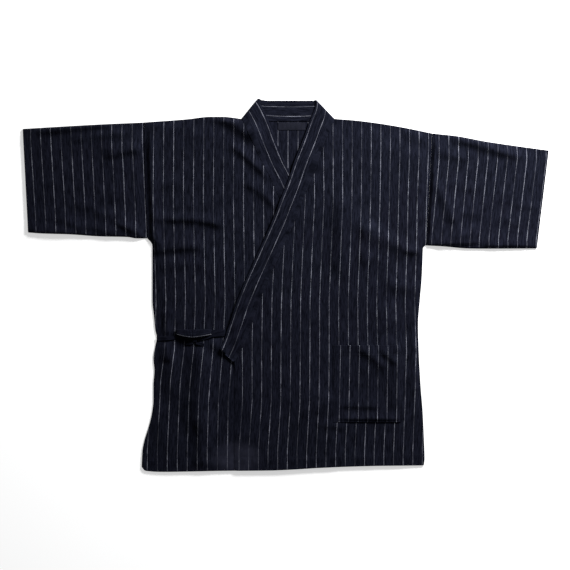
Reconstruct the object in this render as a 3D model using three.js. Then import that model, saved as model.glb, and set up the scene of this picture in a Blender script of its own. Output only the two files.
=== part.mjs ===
// A jinbei jacket laid flat on a table, front side up, its left front lapped over its right
// front and tied with an outer bow. Millimetres, +Z up, +Y towards the collar, +X towards the
// wearer's left sleeve. The origin is under the middle of the garment, on the table.
import * as THREE from "three";

const { clamp, lerp, smoothstep } = THREE.MathUtils;

// Cloth and layers
const cloth = 1.2;
const hemCloth = 1.8;
const bandCloth = 2.4;
const seamGap = 0.3;
const layerGap = 0.7;
const pieceGap = 0.45;
const edgeInset = 0.18;
const hemDepth = 25;
const cuffHemDepth = 20;
const hemStep = 3;
const hairline = 0.001;

// Heights of the lower face of the cloth over the table
const pressed = cloth + seamGap;
const bodyRise = 2.5;
const armholeRise = 0.7;
const freeFrontRise = 1.1;
const frontEdgeHeight = 1.6;
const sleeveRise = 3.1;
const cuffRise = 1.4;
const sideReach = 65;
const armholeReach = 26;
const shoulderReach = 55;
const hemReach = 70;
const hemRise = 0.45;
const lapReach = 60;
const sleeveEdgeReach = 38;
const foldRadius = 0.7;
const foldTip = 1.4;
const cuffReach = 60;

// Mesh steps
const step = {
  across: 24, along: 25, sleeveAcross: 22, sleeveAlong: 24, pocketAcross: 15, pocketAlong: 18,
  tape: 4,
};

// Pieces with one size each
const body = { frontEdge: -112.8, underEdge: 127, collarEnd: -168.9, neck: 367, frontWidth: 420 };
const pocket = {
  left: 104, right: 252.5, bottom: -299, top: -131, gape: 1.1, gapeReach: 60, hem: 20,
};
const label = { width: 60, height: 17, thickness: 1, x: 13, top: 359 };
const tieThickness = 1.2;
const knot = {
  x: -200.5, y: -119.5, length: 12.5, width: 10.5, height: 5, rise: 3.1, around: 14, along: 9,
};

// Named rows of a table
function rows(columns, ...values) {
  return values.map((row) => Object.fromEntries(columns.map((column, i) => [column, row[i]])));
}

// Outline of the body: side seams below the armholes, shoulders, hem and back neck
const seams = {
  right: rows(["y", "x"], [104, -304.4], [97.4, -297.6], [88.6, -293.2], [-32.5, -293.2],
    [-65.5, -289.9], [-98.5, -286.6], [-113.9, -283.3], [-131.5, -286.6], [-160, -291],
    [-186.5, -288.8], [-219.5, -291], [-252.5, -291], [-274.5, -293.2], [-296.5, -297.6],
    [-318.5, -304], [-340.5, -310.8], [-362.5, -315], [-397.7, -316.8]),
  left: rows(["y", "x"], [88.6, 307.5], [84, 302], [55.6, 300.9], [11.6, 298.7], [-25.9, 295.4],
    [-87.5, 291], [-131.5, 292], [-219.5, 296.5], [-274.5, 300.9], [-340.5, 304],
    [-380, 305.3], [-394.6, 303.6]),
};
const armholes = {
  right: { top: 359, bottom: 104, xTop: -311.8, slope: 0, bow: 7.4 },
  left: { top: 335, bottom: 88.6, xTop: 321.7, slope: -11.57, bow: -2.63 },
};
const shoulders = {
  right: rows(["x", "y"], [-311.8, 359], [-218, 366], [-166, 371.5], [-139, 371.5], [-97.4, 367]),
  left: rows(["x", "y"], [107, 367], [151, 363.6], [204, 357], [257, 348.2], [321.7, 335]),
};
const hem = rows(["x", "y"], [-316.8, -397.7], [-308.6, -406.5], [-271, -408.7], [-143.6, -406.5],
  [-33.6, -405.4], [19, -403.2], [72, -399.9], [125, -397.7], [204, -395.5], [303.6, -394.6]);
const neckSeam = rows(["x", "y"], [-97.4, 364.5], [-80, 361], [80, 361], [107, 364.5]);

// Collar band: its sewn edge, its folded edge, and how high the band lies, for each front
const bands = {
  right: {
    sewn: rows(["y", "x"], [367, -97.4], [319.6, -76], [275.6, -55], [241, -37], [220.6, -28],
      [187.6, -13], [143.6, 5], [99.6, 24], [55.6, 43], [11.6, 61], [-32.5, 77], [-76.5, 91],
      [-120.5, 105], [-168.9, 127]),
    folded: rows(["y", "x"], [408.5, -62.5], [396.6, -54.5], [363.6, -38.5], [319.6, -21.7],
      [275.6, -3.6], [241, 14.2], [187.6, 37], [143.6, 55], [99.6, 74], [55.6, 93],
      [11.6, 111], [-32.5, 127], [-76.5, 141], [-120.5, 155], [-140.3, 162]),
    height: rows(["y", "z"], [367, 3], [325, 3], [290, 1.9], [-168.9, 1.7]),
  },
  left: {
    sewn: rows(["y", "x"], [367, 107], [361.4, 105.5], [317.4, 87.5], [255.8, 66.5],
      [205.2, 44.5], [143.6, 20.8], [99.6, 1.2], [55.6, -18.6], [11.6, -38.4], [-32.5, -56.4],
      [-76.5, -71.2], [-120.5, -87.5], [-168.9, -112.8]),
    folded: rows(["y", "x"], [408.5, 66.5], [396.6, 65], [359, 51.2], [319.6, 36.9],
      [275.6, 19.5], [231.6, 4.5], [187.6, -12.7], [143.6, -29.8], [99.6, -49.4],
      [55.6, -69.2], [11.6, -89], [-32.5, -107], [-76.5, -121.8], [-120.5, -136.7],
      [-140.3, -144.7]),
    height: rows(["y", "z"], [367, 3], [315, 3], [280, 3.4], [240, 4.7], [215, 5.1],
      [170, 5.5], [120, 5.8], [60, 5.95], [-168.9, 5.95]),
  },
};
const band = {
  skew: 18.5, endSkew: 28.6, endReach: 90, peakRise: 41.3, peakStart: 270, loftTop: 300,
  loftFull: 220, crown: 0.4, roll: 0.7, turn: 2.7, turnStart: 0.4, turnSteps: 4, seamY: 361.1,
  seamHalf: 78, backTop: 406.5, backTopFrom: -46, backTopTo: 50, backSteps: 4,
};
const creases = {
  right: { sewn: [-94.8, 366.4], folded: [-60.8, 406.9], outward: [-0.74, 0.67] },
  left: { sewn: [104.2, 366.3], folded: [64.8, 406.8], outward: [0.7, 0.71] },
};

// Sleeve outlines from the armhole to the cuff: the underarm seam and the folded top edge
const sleeves = {
  right: {
    under: rows(["x", "y"], [-304.9, 104], [-328, 104], [-348, 107], [-408, 108.4],
      [-474, 112.8], [-540, 115], [-566, 117]),
    top: rows(["x", "y"], [-312.3, 359], [-408, 354.8], [-487, 350.4], [-578, 344.9]),
    bite: 12,
  },
  left: {
    under: rows(["x", "y"], [308, 88.6], [347, 86.4], [400, 82], [439, 81.5], [551.7, 82]),
    top: rows(["x", "y"], [322.2, 335], [373.5, 329.5], [439.5, 317.4], [505.5, 307.5],
      [578, 297.5]),
    bite: 24,
  },
};

// Largest folds: a ridge runs from one end to the other, bowed sideways, with a soft section
const foldEnds = 0.3;
const foldFullLoft = 0.67;
const foldColumns = ["x0", "y0", "x1", "y1", "bow", "width", "height"];
const bodyFolds = rows(foldColumns,
  [-150, 366, -62, 300, 12, 8, 2.2],
  [-132, 332, -50, 240, 12, 8, 2.6],
  [-292, 158, -150, 143, 5, 9, 2.8],
  [-292, 106, -160, 103, 6, 13, 2.2],
  [-292, 47, -195, 62, 0, 10, 1.9],
  [-281, -35, -279, -108, 0, 8, 1.8],
  [-243, -130, -262, -285, 4, 12, 2.6],
  [-172, -132, -186, -330, 0, 14, 2.2],
  [-210, -205, -222, -392, 0, 15, 1.6],
  [-128, -175, -146, -392, 0, 12, 1.7],
  [150, 178, 262, 92, -10, 17, 2.2],
  [60, 120, 34, -150, 8, 20, 1.4],
  [258, 62, 300, 78, 0, 7, 1.9],
  [281, -70, 284, -225, -5, 9, 2.0],
  [-62, -130, -80, -390, 0, 20, 1.5],
  [22, -170, 8, -392, 0, 22, 1.3],
  [215, 30, 205, -110, 8, 18, 1.3]);
const sleeveFolds = {
  right: rows(foldColumns,
    [-398, 298, -318, 326, 5, 9, 2.0],
    [-470, 262, -352, 250, 0, 18, 1.0],
    [-400, 126, -312, 138, 0, 10, 1.6],
    [-560, 190, -430, 196, 0, 22, 0.9]),
  left: rows(foldColumns,
    [372, 318, 520, 292, -4, 7, 2.2],
    [330, 214, 338, 112, -22, 10, 2.2],
    [338, 102, 420, 112, 0, 9, 1.6],
    [452, 190, 556, 206, 0, 24, 0.9]),
};

// Outer ties on the right front, cut from the same cloth: the middle of each, its height over
// the cloth, its width there, and how much higher its lower edge lies than its upper edge. Each
// loop runs out from the knot and comes back over itself, and the two hang over the knot.
const tieColumns = ["x", "y", "rise", "width", "tilt"];
const ties = {
  tie_side: rows(tieColumns, [-283.4, -117.5, 0, 9.4, 0], [-262, -115.5, 0, 9.2, 0],
    [-240, -114, 0, 8.6, 0], [-222, -116.6, 0, 8.6, 0], [-206.3, -118.6, 0, 8, 0]),
  tie_front: rows(tieColumns, [-135, -103.6, 0, 15.6, 0], [-150, -104, 0, 15.6, 0],
    [-162, -106, 0, 15, 0], [-178, -113.2, 0, 11, 0], [-194.6, -118.8, 0, 8, 0]),
  bow_loop_side: rows(tieColumns, [-203.5, -111.2, 2, 6.4, 0], [-212, -109.8, 2, 7, 0],
    [-224, -105.8, 0.7, 9, 0], [-236, -102.5, 0.1, 10, 0], [-240.8, -101.6, 2.1, 10.5, 0.5],
    [-235, -102, 4.3, 13, 1.5], [-222, -103.6, 5.2, 16, 3], [-204.5, -104.8, 6, 18, 4]),
  bow_loop_front: rows(tieColumns, [-198, -111.2, 2, 6.4, 0], [-188, -109.4, 2, 7, 0],
    [-170, -103.4, 1.9, 10, 0], [-163.2, -102, 3.1, 10.5, 0.5], [-169, -102, 4.7, 13, 1.5],
    [-184, -103.2, 5.4, 16, 3], [-203.9, -104.8, 6, 18, 4]),
  bow_end_side: rows(tieColumns, [-203.6, -126.9, 1.9, 6.4, 0], [-209, -128.6, 1.8, 7.6, 0],
    [-215, -129.6, 0.5, 8, 0], [-221, -130, 0, 8, 0]),
  bow_end_front: rows(tieColumns, [-197.4, -126.9, 1.9, 6.4, 0], [-191, -129, 1.8, 7.6, 0],
    [-185, -130.6, 0.5, 8, 0], [-179, -132.4, 0, 8, 0]),
};

// Reads one column of a table at a place along another, straight between its rows
function read(table, along, column, place) {
  const rising = table[table.length - 1][along] > table[0][along];
  const passed = (row) => (rising ? place > row[along] : place < row[along]);
  let i = 1;
  while (i < table.length - 1 && passed(table[i])) i += 1;
  const [from, to] = [table[i - 1], table[i]];
  const share = clamp((place - from[along]) / (to[along] - from[along]), 0, 1);
  return lerp(from[column], to[column], share);
}

function armholeX(side, y) {
  const line = armholes[side];
  const t = (line.top - y) / (line.top - line.bottom);
  return line.xTop + line.slope * t + line.bow * t * t;
}

function sideX(side, y) {
  return y >= armholes[side].bottom ? armholeX(side, y) : read(seams[side], "y", "x", y);
}

// Sewn or free front edge of each front, from the hem to the neck
function frontX(side, y) {
  const free = side === "left" ? body.frontEdge : body.underEdge;
  return y < body.collarEnd ? free : read(bands[side].sewn, "y", "x", y);
}

// Height that one row of a fold table adds at a place
function ridge(fold, x, y) {
  const [dx, dy] = [fold.x1 - fold.x0, fold.y1 - fold.y0];
  const length = Math.hypot(dx, dy);
  const t = ((x - fold.x0) * dx + (y - fold.y0) * dy) / (length * length);
  if (t <= 0 || t >= 1) return 0;
  const off = ((y - fold.y0) * dx - (x - fold.x0) * dy) / length - 4 * fold.bow * t * (1 - t);
  const fade = smoothstep(t, 0, foldEnds) * smoothstep(1 - t, 0, foldEnds);
  return fold.height * fade * Math.exp(-0.5 * (off / fold.width) ** 2);
}

function folds(table, x, y) {
  return table.reduce((sum, fold) => sum + ridge(fold, x, y), 0);
}

// How far the body cloth has risen, from 0 where it is pressed at an edge to 1 inside
function bodyLoft(x, y) {
  const side = x < 0 ? "right" : "left";
  const inward = Math.abs(sideX(side, y) - x);
  const open = armholes[side].bottom;
  const atSleeve = lerp(armholeRise / bodyRise, 1, smoothstep(inward, 0, armholeReach));
  const atSeam = smoothstep(inward, -4, sideReach);
  const sideLoft = lerp(atSeam, atSleeve, smoothstep(y, open - 30, open + 10));
  const down = read(shoulders[side], "x", "y", x) - y;
  const up = y - read(hem, "x", "y", x);
  const hemLoft = lerp(hemRise, 1, smoothstep(up, 0, hemReach));
  return sideLoft * smoothstep(down, -6, shoulderReach) * hemLoft;
}

// Lower faces of the two fronts, and the upper face of the cloth that the bow lies on
function insideFront(x, y) {
  const loft = bodyLoft(x, y);
  return pressed + bodyRise * loft + folds(bodyFolds, x, y) * Math.min(1, loft / foldFullLoft);
}

function underFront(x, y) {
  const inside = insideFront(x, y);
  const lap = smoothstep(frontX("right", y) - x, 0, lapReach);
  return lerp(Math.min(inside, frontEdgeHeight), inside, lap);
}

function overFront(x, y) {
  const lap = smoothstep(frontX("right", y) - x, 0, lapReach);
  const nearSide = smoothstep(sideX("left", y) - x, 0, sideReach);
  const nearNeck = smoothstep(read(shoulders.left, "x", "y", x) - y, 0, shoulderReach);
  const free = freeFrontRise * nearSide * nearNeck;
  return insideFront(x, y) + lerp(free, bodyCloth(x, y) + layerGap, lap);
}

const underFrontTop = (x, y) => underFront(x, y) + cloth;

// Body cloth is thicker at its turned-up hem
function bodyCloth(x, y) {
  const up = y - read(hem, "x", "y", x);
  return lerp(hemCloth, cloth, smoothstep(up, hemDepth, hemDepth + hemStep));
}

// Places from 0 to 1 that keep the given breaks and are at most one step apart
function stops(breaks, size, length) {
  const kept = [0, ...breaks.filter((place) => place > 0.004 && place < 0.996), 1];
  const sorted = kept.sort((a, b) => a - b);
  const result = [0];
  for (let i = 1; i < sorted.length; i += 1) {
    const count = Math.max(1, Math.round(((sorted[i] - sorted[i - 1]) * length) / size));
    for (let k = 1; k <= count; k += 1) {
      result.push(lerp(sorted[i - 1], sorted[i], k / count));
    }
  }
  return result;
}

// A patch between four edges: each edge gives a point for a place from 0 to 1
function patch(left, right, bottom, top) {
  const mix = (a, b, t) => [lerp(a[0], b[0], t), lerp(a[1], b[1], t)];
  return (s, v) => {
    const across = mix(left(v), right(v), s);
    const along = mix(bottom(s), top(s), v);
    const corners = mix(mix(left(0), right(0), s), mix(left(1), right(1), s), v);
    return [across[0] + along[0] - corners[0], across[1] + along[1] - corners[1]];
  };
}

// A named mesh from points and triangles, with its faces turned outwards
function solid(name, points, faces, finish) {
  let volume = 0;
  for (const [a, b, c] of faces) {
    volume += points[a].dot(new THREE.Vector3().crossVectors(points[b], points[c]));
  }
  const geometry = new THREE.BufferGeometry().setFromPoints(points);
  geometry.setIndex(faces.flatMap(([a, b, c]) => (volume > 0 ? [a, b, c] : [a, c, b])));
  geometry.computeVertexNormals();
  const mesh = new THREE.Mesh(geometry, finish.clone());
  mesh.name = name;
  return mesh;
}

const quad = (a, b, c, d) => [[a, b, c], [a, c, d]];

// A wall of cloth over a grid of places: its lower face, its upper face and its four edges
function panel(name, place, acrossStops, alongStops, lower, thickness, finish) {
  const points = [];
  const faces = [];
  const width = acrossStops.length;
  const count = width * alongStops.length;
  for (const upper of [false, true]) {
    for (const v of alongStops) {
      for (const s of acrossStops) {
        const [x, y] = place(s, v);
        points.push(new THREE.Vector3(x, y, lower(x, y) + (upper ? thickness(x, y) : 0)));
      }
    }
  }
  const at = (i, j, upper) => (upper ? count : 0) + j * width + i;
  for (let j = 1; j < alongStops.length; j += 1) {
    for (let i = 1; i < width; i += 1) {
      faces.push(...quad(at(i - 1, j - 1, 1), at(i, j - 1, 1), at(i, j, 1), at(i - 1, j, 1)));
      faces.push(...quad(at(i - 1, j - 1, 0), at(i - 1, j, 0), at(i, j, 0), at(i, j - 1, 0)));
    }
  }
  const edge = [];
  for (let i = 0; i < width - 1; i += 1) edge.push([i, 0]);
  for (let j = 0; j < alongStops.length - 1; j += 1) edge.push([width - 1, j]);
  for (let i = width - 1; i > 0; i -= 1) edge.push([i, alongStops.length - 1]);
  for (let j = alongStops.length - 1; j > 0; j -= 1) edge.push([0, j]);
  edge.forEach(([i, j], k) => {
    const [ni, nj] = edge[(k + 1) % edge.length];
    faces.push(...quad(at(i, j, 0), at(ni, nj, 0), at(ni, nj, 1), at(i, j, 1)));
  });
  return solid(name, points, faces, finish);
}

// Triangles between the rings of a skin, with rings joined end to end around each ring
function skin(ringCount, size, start, faces) {
  for (let j = 1; j < ringCount; j += 1) {
    for (let k = 0; k < size; k += 1) {
      const next = (k + 1) % size;
      const [a, b] = [start + (j - 1) * size, start + j * size];
      faces.push(...quad(a + k, a + next, b + next, b + k));
    }
  }
}

// A closed bar through rings of points, with a flat face over each end
function bar(name, rings, finish) {
  const faces = [];
  const size = rings[0].length;
  skin(rings.length, size, 0, faces);
  const last = (rings.length - 1) * size;
  for (let k = 2; k < size; k += 1) {
    faces.push([0, k, k - 1], [last, last + k - 1, last + k]);
  }
  return solid(name, rings.flat(), faces, finish);
}

// A tube of cloth, open at both ends, between outer and inner rings
function sleeveTube(name, outer, inner, finish) {
  const faces = [];
  const size = outer[0].length;
  const half = outer.length * size;
  skin(outer.length, size, 0, faces);
  const lining = [];
  skin(inner.length, size, half, lining);
  faces.push(...lining.map(([a, b, c]) => [a, c, b]));
  for (let k = 0; k < size; k += 1) {
    const next = (k + 1) % size;
    const end = half - size;
    faces.push(...quad(k, k + half, next + half, next));
    faces.push(...quad(end + k, end + next, end + next + half, end + k + half));
  }
  return solid(name, [...outer.flat(), ...inner.flat()], faces, finish);
}

// Finishes: dark navy cotton with a little blue, a lighter woven label
const cotton = new THREE.MeshStandardMaterial({ color: 0x171a26, roughness: 0.95 });
const tieCotton = new THREE.MeshStandardMaterial({ color: 0x1b1e2a, roughness: 0.92 });
const labelWeave = new THREE.MeshStandardMaterial({ color: 0x2c3040, roughness: 0.85 });

// The back lies on the table: one flat wall inside the outline of the body
function back() {
  const outline = [...hem.map(({ x, y }) => [x, y])];
  for (const { y, x } of seams.left.slice(1).reverse().slice(1)) outline.push([x, y]);
  for (const share of [1, 0.8, 0.6, 0.4, 0.2]) {
    const y = lerp(armholes.left.top, armholes.left.bottom, share);
    outline.push([armholeX("left", y), y]);
  }
  for (const { x, y } of [...shoulders.left].reverse()) outline.push([x, y - hairline]);
  for (const { x, y } of [...neckSeam].reverse()) outline.push([x, y - seamGap]);
  for (const { x, y } of [...shoulders.right].reverse()) outline.push([x, y - hairline]);
  for (const share of [0.2, 0.4, 0.6, 0.8, 1]) {
    const y = lerp(armholes.right.top, armholes.right.bottom, share);
    outline.push([armholeX("right", y), y]);
  }
  for (const { y, x } of seams.right.slice(1, -1)) outline.push([x, y]);
  const shape = new THREE.Shape(outline.map(([x, y]) => new THREE.Vector2(x, y)));
  const geometry = new THREE.ExtrudeGeometry(shape, { depth: cloth, bevelEnabled: false });
  const mesh = new THREE.Mesh(geometry, cotton.clone());
  mesh.name = "back";
  return mesh;
}

// Height up the garment of a place on a front's front edge, from the hem to the neck
function frontY(side, v) {
  const freeX = side === "left" ? body.frontEdge : body.underEdge;
  return lerp(read(hem, "x", "y", freeX), body.neck, v);
}

// The stops along a front, which the collar band shares so that the two edges run together
function frontRows(side) {
  const low = frontY(side, 0);
  const span = body.neck - low;
  const armpit = side === "left" ? [84, 88.6] : [88.6, 104];
  const breaks = [low + hemDepth, low + hemDepth + hemStep, body.collarEnd, ...armpit];
  return stops(breaks.map((y) => (y - low) / span), step.along, span);
}

function front(side) {
  const shoulder = shoulders[side];
  const neck = shoulder[side === "left" ? 0 : shoulder.length - 1];
  const armholeTop = armholes[side].top;
  const { x: outer, y: bottomY } = seams[side][seams[side].length - 1];
  const inner = side === "left" ? body.frontEdge : body.underEdge;
  const inset = side === "left" ? edgeInset : -edgeInset;
  const edge = (v) => [frontX(side, frontY(side, v)) + inset, frontY(side, v)];
  const seam = (v) => [sideX(side, lerp(bottomY, armholeTop, v)), lerp(bottomY, armholeTop, v)];
  const low = (t) => {
    const x = lerp(inner, outer, t);
    return [x, read(hem, "x", "y", x)];
  };
  const high = (t) => {
    const x = lerp(neck.x, sideX(side, armholeTop), t);
    return [x, read(shoulder, "x", "y", x)];
  };
  const flip = (edgeAt) => (t) => edgeAt(1 - t);
  const place = side === "left" ? patch(edge, seam, low, high)
    : patch(seam, edge, flip(low), flip(high));
  const across = stops([], step.across, body.frontWidth);
  const lower = side === "left" ? overFront : underFront;
  return panel(`front_${side}`, place, across, frontRows(side), lower, bodyCloth, cotton);
}

// A flat sleeve: the ring runs along the table, round the top fold, back over and round the
// underarm seam
function sleeve(side) {
  const { under, top, bite } = sleeves[side];
  const outward = side === "left" ? 1 : -1;
  const edgeOf = (table) => (t) => {
    const x = lerp(table[0].x, table[table.length - 1].x, t);
    return [x, read(table, "x", "y", x)];
  };
  const armhole = (c) => {
    const y = lerp(under[0].y, top[0].y, c);
    return [armholeX(side, y) + outward * seamGap, y];
  };
  const cuff = (c) => {
    const [a, b] = [under[under.length - 1], top[top.length - 1]];
    return [lerp(a.x, b.x, c), lerp(a.y, b.y, c)];
  };
  const place = patch(edgeOf(under), edgeOf(top), armhole, cuff);
  const length = Math.abs(top[top.length - 1].x - top[0].x);
  const width = top[0].y - under[0].y;
  const innerHeight = (c, t) => {
    const [x, y] = place(c, t);
    const edge = smoothstep(Math.min(c, 1 - c) * width, 1, sleeveEdgeReach);
    const root = smoothstep(t * length, 0, bite);
    const end = lerp(cuffRise / sleeveRise, 1, smoothstep((1 - t) * length, 0, cuffReach));
    const rise = lerp(armholeRise, sleeveRise * end, root) * edge;
    return pressed + rise + folds(sleeveFolds[side], x, y) * edge * root;
  };
  const wall = (t) => ((1 - t) * length < cuffHemDepth + hemStep / 2 ? hemCloth : cloth);
  const acrossCount = Math.round(width / step.sleeveAcross);
  const hemPlaces = [1 - (cuffHemDepth + hemStep) / length, 1 - cuffHemDepth / length];
  const along = stops([...hemPlaces, bite / length], step.sleeveAlong, length);
  const ring = (t, inset) => {
    const points = [];
    const margin = (inset + foldRadius) / width;
    const tip = (inset * foldTip) / width;
    const point = (c, z) => points.push(new THREE.Vector3(...place(c, t), z));
    const places = [];
    for (let k = 0; k <= acrossCount; k += 1) places.push(lerp(margin, 1 - margin, k / acrossCount));
    const middle = (pressed + cloth) / 2;
    for (const c of places) point(c, inset ? cloth : 0);
    point(1 - tip, middle);
    for (const c of [...places].reverse()) point(c, innerHeight(c, t) + (inset ? 0 : wall(t)));
    point(tip, middle);
    return points;
  };
  const outer = along.map((t) => ring(t, 0));
  const inner = along.map((t) => ring(t, cloth));
  return sleeveTube(`sleeve_${side}`, outer, inner, cotton);
}

// One station of the collar band. Its faces lie a half turn apart over the crease at the neck:
// the angle is 0 along a front, and pi along the back neck.
function bandRing(sewn, folded, lowFace, angle, outward) {
  const middle = [(sewn[0] + folded[0]) / 2, (sewn[1] + folded[1]) / 2];
  const reach = Math.hypot(folded[0] - sewn[0], folded[1] - sewn[1]);
  const roll = [0, 1].map((i) => folded[i] + ((folded[i] - sewn[i]) / reach) * band.roll);
  const centre = angle === 0 ? lowFace - seamGap : band.turn;
  const face = ([x, y], radius) => new THREE.Vector3(x + outward[0] * radius * Math.sin(angle),
    y + outward[1] * radius * Math.sin(angle), centre + radius * Math.cos(angle));
  const [near, far] = [seamGap, seamGap + bandCloth];
  const crown = band.crown * Math.max(0, Math.cos(angle));
  return [face(sewn, far), face(middle, far + crown), face(folded, far),
    face(roll, (near + far) / 2), face(folded, near), face(sewn, near)];
}

// The stations along one front, from the neck down
function bandStations(side) {
  const { sewn, folded, height } = bands[side];
  const outwardX = side === "left" ? -edgeInset : edgeInset;
  const levels = frontRows(side).map((v) => frontY(side, v));
  const rings = [];
  for (const y of levels.filter((level) => level >= body.collarEnd - 0.5).reverse()) {
    const nearNeck = smoothstep(y, band.peakStart, body.neck);
    const nearEnd = smoothstep(body.collarEnd + band.endReach - y, 0, band.endReach);
    const rise = lerp(lerp(band.skew, band.endSkew, nearEnd), band.peakRise, nearNeck);
    const outer = [read(sewn, "y", "x", y) + outwardX, y];
    const inner = [read(folded, "y", "x", y + rise), y + rise];
    const loft = side === "left" ? folds(bodyFolds, outer[0], y) : 0;
    const fade = 1 - smoothstep(y, band.loftFull, band.loftTop);
    rings.push(bandRing(outer, inner, read(height, "y", "z", y) + loft * fade, 0, [0, 0]));
  }
  return rings;
}

// The whole band: up the right front, over the crease, along the back neck, over the other
// crease and down the left front
function collar() {
  const rings = bandStations("right").reverse();
  const turn = ({ sewn, folded, outward }, from, to) => {
    for (let k = 0; k <= band.turnSteps; k += 1) {
      const angle = lerp(from, to, k / band.turnSteps);
      rings.push(bandRing(sewn, folded, 0, angle, outward));
    }
  };
  turn(creases.right, band.turnStart, Math.PI);
  for (let k = 0; k <= band.backSteps; k += 1) {
    const share = k / band.backSteps;
    const sewn = [lerp(-band.seamHalf, band.seamHalf, share), band.seamY];
    const folded = [lerp(band.backTopFrom, band.backTopTo, share), band.backTop];
    rings.push(bandRing(sewn, folded, 0, Math.PI, [0, 0]));
  }
  turn(creases.left, Math.PI, band.turnStart);
  rings.push(...bandStations("left"));
  return bar("collar", rings, cotton);
}

// The patch pocket lies on the left front, made from its surface, with a doubled mouth
function patchPocket() {
  const { left, right, bottom, top, gape } = pocket;
  const lower = (x, y) => {
    const middle = Math.sin((Math.PI * (x - left)) / (right - left));
    const mouth = smoothstep(y, top - pocket.gapeReach, top) * middle;
    return overFront(x, y) + cloth + pieceGap + gape * mouth;
  };
  const thickness = (x, y) => (y > top - pocket.hem - hemStep / 2 ? hemCloth : cloth);
  const place = (s, v) => [lerp(left, right, s), lerp(bottom, top, v)];
  const mouthHem = [1 - (pocket.hem + hemStep) / (top - bottom), 1 - pocket.hem / (top - bottom)];
  const across = stops([], step.pocketAcross, right - left);
  const along = stops(mouthHem, step.pocketAlong, top - bottom);
  return panel("pocket", place, across, along, lower, thickness, cotton);
}

// The blank neck label lies inside the back, just under the collar
function neckLabel() {
  const { width, height, thickness, x, top } = label;
  const mesh = new THREE.Mesh(new THREE.BoxGeometry(width, height, thickness), labelWeave.clone());
  mesh.position.set(x, top - height / 2, cloth + seamGap + thickness / 2);
  mesh.name = "label";
  return mesh;
}

const acrossGarment = new THREE.Vector3(1, 0, 0);

// Upper face of the right front under a tie: the highest place across the tie's width
function underTie(x, y, width) {
  return Math.max(...[-0.5, 0, 0.5].map((share) => underFrontTop(x, y + share * width)));
}

// A flat tie along its table, over the right front. Its edges run across the table's line, and
// those of a loop straight up the garment, so that its two layers lie one on the other.
function tie(name, table) {
  const route = new THREE.CatmullRomCurve3(table.map(({ x, y, rise, width }) => (
    new THREE.Vector3(x, y, underTie(x, y, width) + pieceGap + rise + tieThickness / 2))));
  const count = Math.max(6, Math.round(route.getLength() / step.tape));
  const rings = [];
  for (let k = 0; k <= count; k += 1) {
    const t = route.getUtoTmapping(k / count);
    const row = t * (table.length - 1);
    const [from, to] = [table[Math.floor(row)], table[Math.min(Math.ceil(row), table.length - 1)]];
    const half = lerp(from.width, to.width, row % 1) / 2;
    const tilt = lerp(from.tilt, to.tilt, row % 1);
    const run = route.getTangent(t);
    const plan = name.startsWith("bow_loop") ? acrossGarment : run.clone().setZ(0).normalize();
    const side = new THREE.Vector3(-plan.y, plan.x, 0).multiplyScalar(Math.sign(plan.x));
    side.z = -tilt / (2 * half);
    const up = new THREE.Vector3().crossVectors(run, side).normalize();
    const centre = route.getPoint(t);
    const corner = (s, u) => centre.clone()
      .addScaledVector(side, s * half).addScaledVector(up, (u * tieThickness) / 2);
    rings.push([corner(-1, -1), corner(1, -1), corner(1, 1), corner(-1, 1)]);
  }
  return bar(name, rings, tieCotton);
}

// The knot is a small flattened ball of cloth
function bowKnot() {
  const { x, y, length, width, height, rise, around, along } = knot;
  const geometry = new THREE.SphereGeometry(0.5, around, along);
  geometry.scale(length, width, height);
  geometry.translate(x, y, underFrontTop(x, y) + rise);
  const mesh = new THREE.Mesh(geometry, tieCotton.clone());
  mesh.name = "bow_knot";
  return mesh;
}

const jinbei = new THREE.Group();
jinbei.add(back(), front("right"), front("left"), sleeve("right"), sleeve("left"), collar());
jinbei.add(patchPocket(), neckLabel(), bowKnot());
for (const [name, table] of Object.entries(ties)) jinbei.add(tie(name, table));

export default jinbei;
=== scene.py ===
"""Dresses a flat-laid jinbei jacket: striped navy cotton, band collar, patch pocket and tied bow.

The garment lies on the floor with its collar towards +Y. Its forms are worked out in millimetres
and written to the meshes in metres. Each sub-assembly is a class with its sizes as fields; each
finish is a frozen dataclass that builds its own material.
"""
from __future__ import annotations

import logging
import math
from dataclasses import dataclass
from enum import Enum
from functools import partial
from typing import Any, Callable, Iterable, Sequence

import bpy
import numpy as np
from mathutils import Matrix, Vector
from mathutils.bvhtree import BVHTree

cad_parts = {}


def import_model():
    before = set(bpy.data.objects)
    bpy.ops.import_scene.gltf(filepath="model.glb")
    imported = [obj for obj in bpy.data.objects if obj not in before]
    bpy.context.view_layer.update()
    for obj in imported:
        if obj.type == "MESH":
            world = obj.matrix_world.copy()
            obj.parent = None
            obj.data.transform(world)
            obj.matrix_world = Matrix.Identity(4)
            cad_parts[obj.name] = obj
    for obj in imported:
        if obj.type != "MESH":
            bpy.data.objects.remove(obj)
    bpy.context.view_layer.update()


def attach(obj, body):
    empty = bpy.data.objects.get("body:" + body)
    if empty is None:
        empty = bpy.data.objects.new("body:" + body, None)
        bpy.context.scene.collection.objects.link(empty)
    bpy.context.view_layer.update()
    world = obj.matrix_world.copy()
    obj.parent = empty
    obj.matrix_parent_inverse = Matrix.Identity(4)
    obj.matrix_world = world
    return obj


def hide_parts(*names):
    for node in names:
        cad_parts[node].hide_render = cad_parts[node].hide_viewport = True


log = logging.getLogger("jinbei")

METRE = 0.001
BODY_NAME = "root"

# Share of its rectangle that a slanted strip of cloth fills
STRIP_FILL = 0.98

Array = np.ndarray
Material = bpy.types.Material
Piece = bpy.types.Object
Socket = bpy.types.NodeSocket
Pair = tuple[float, float]
Triple = tuple[float, float, float]
Numbers = tuple[float, ...]
Colour = tuple[float, float, float, float]
Ramp = tuple[float, float, float, float]
Row = list[Pair]
EdgeLine = Callable[[Array], Array]


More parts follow.
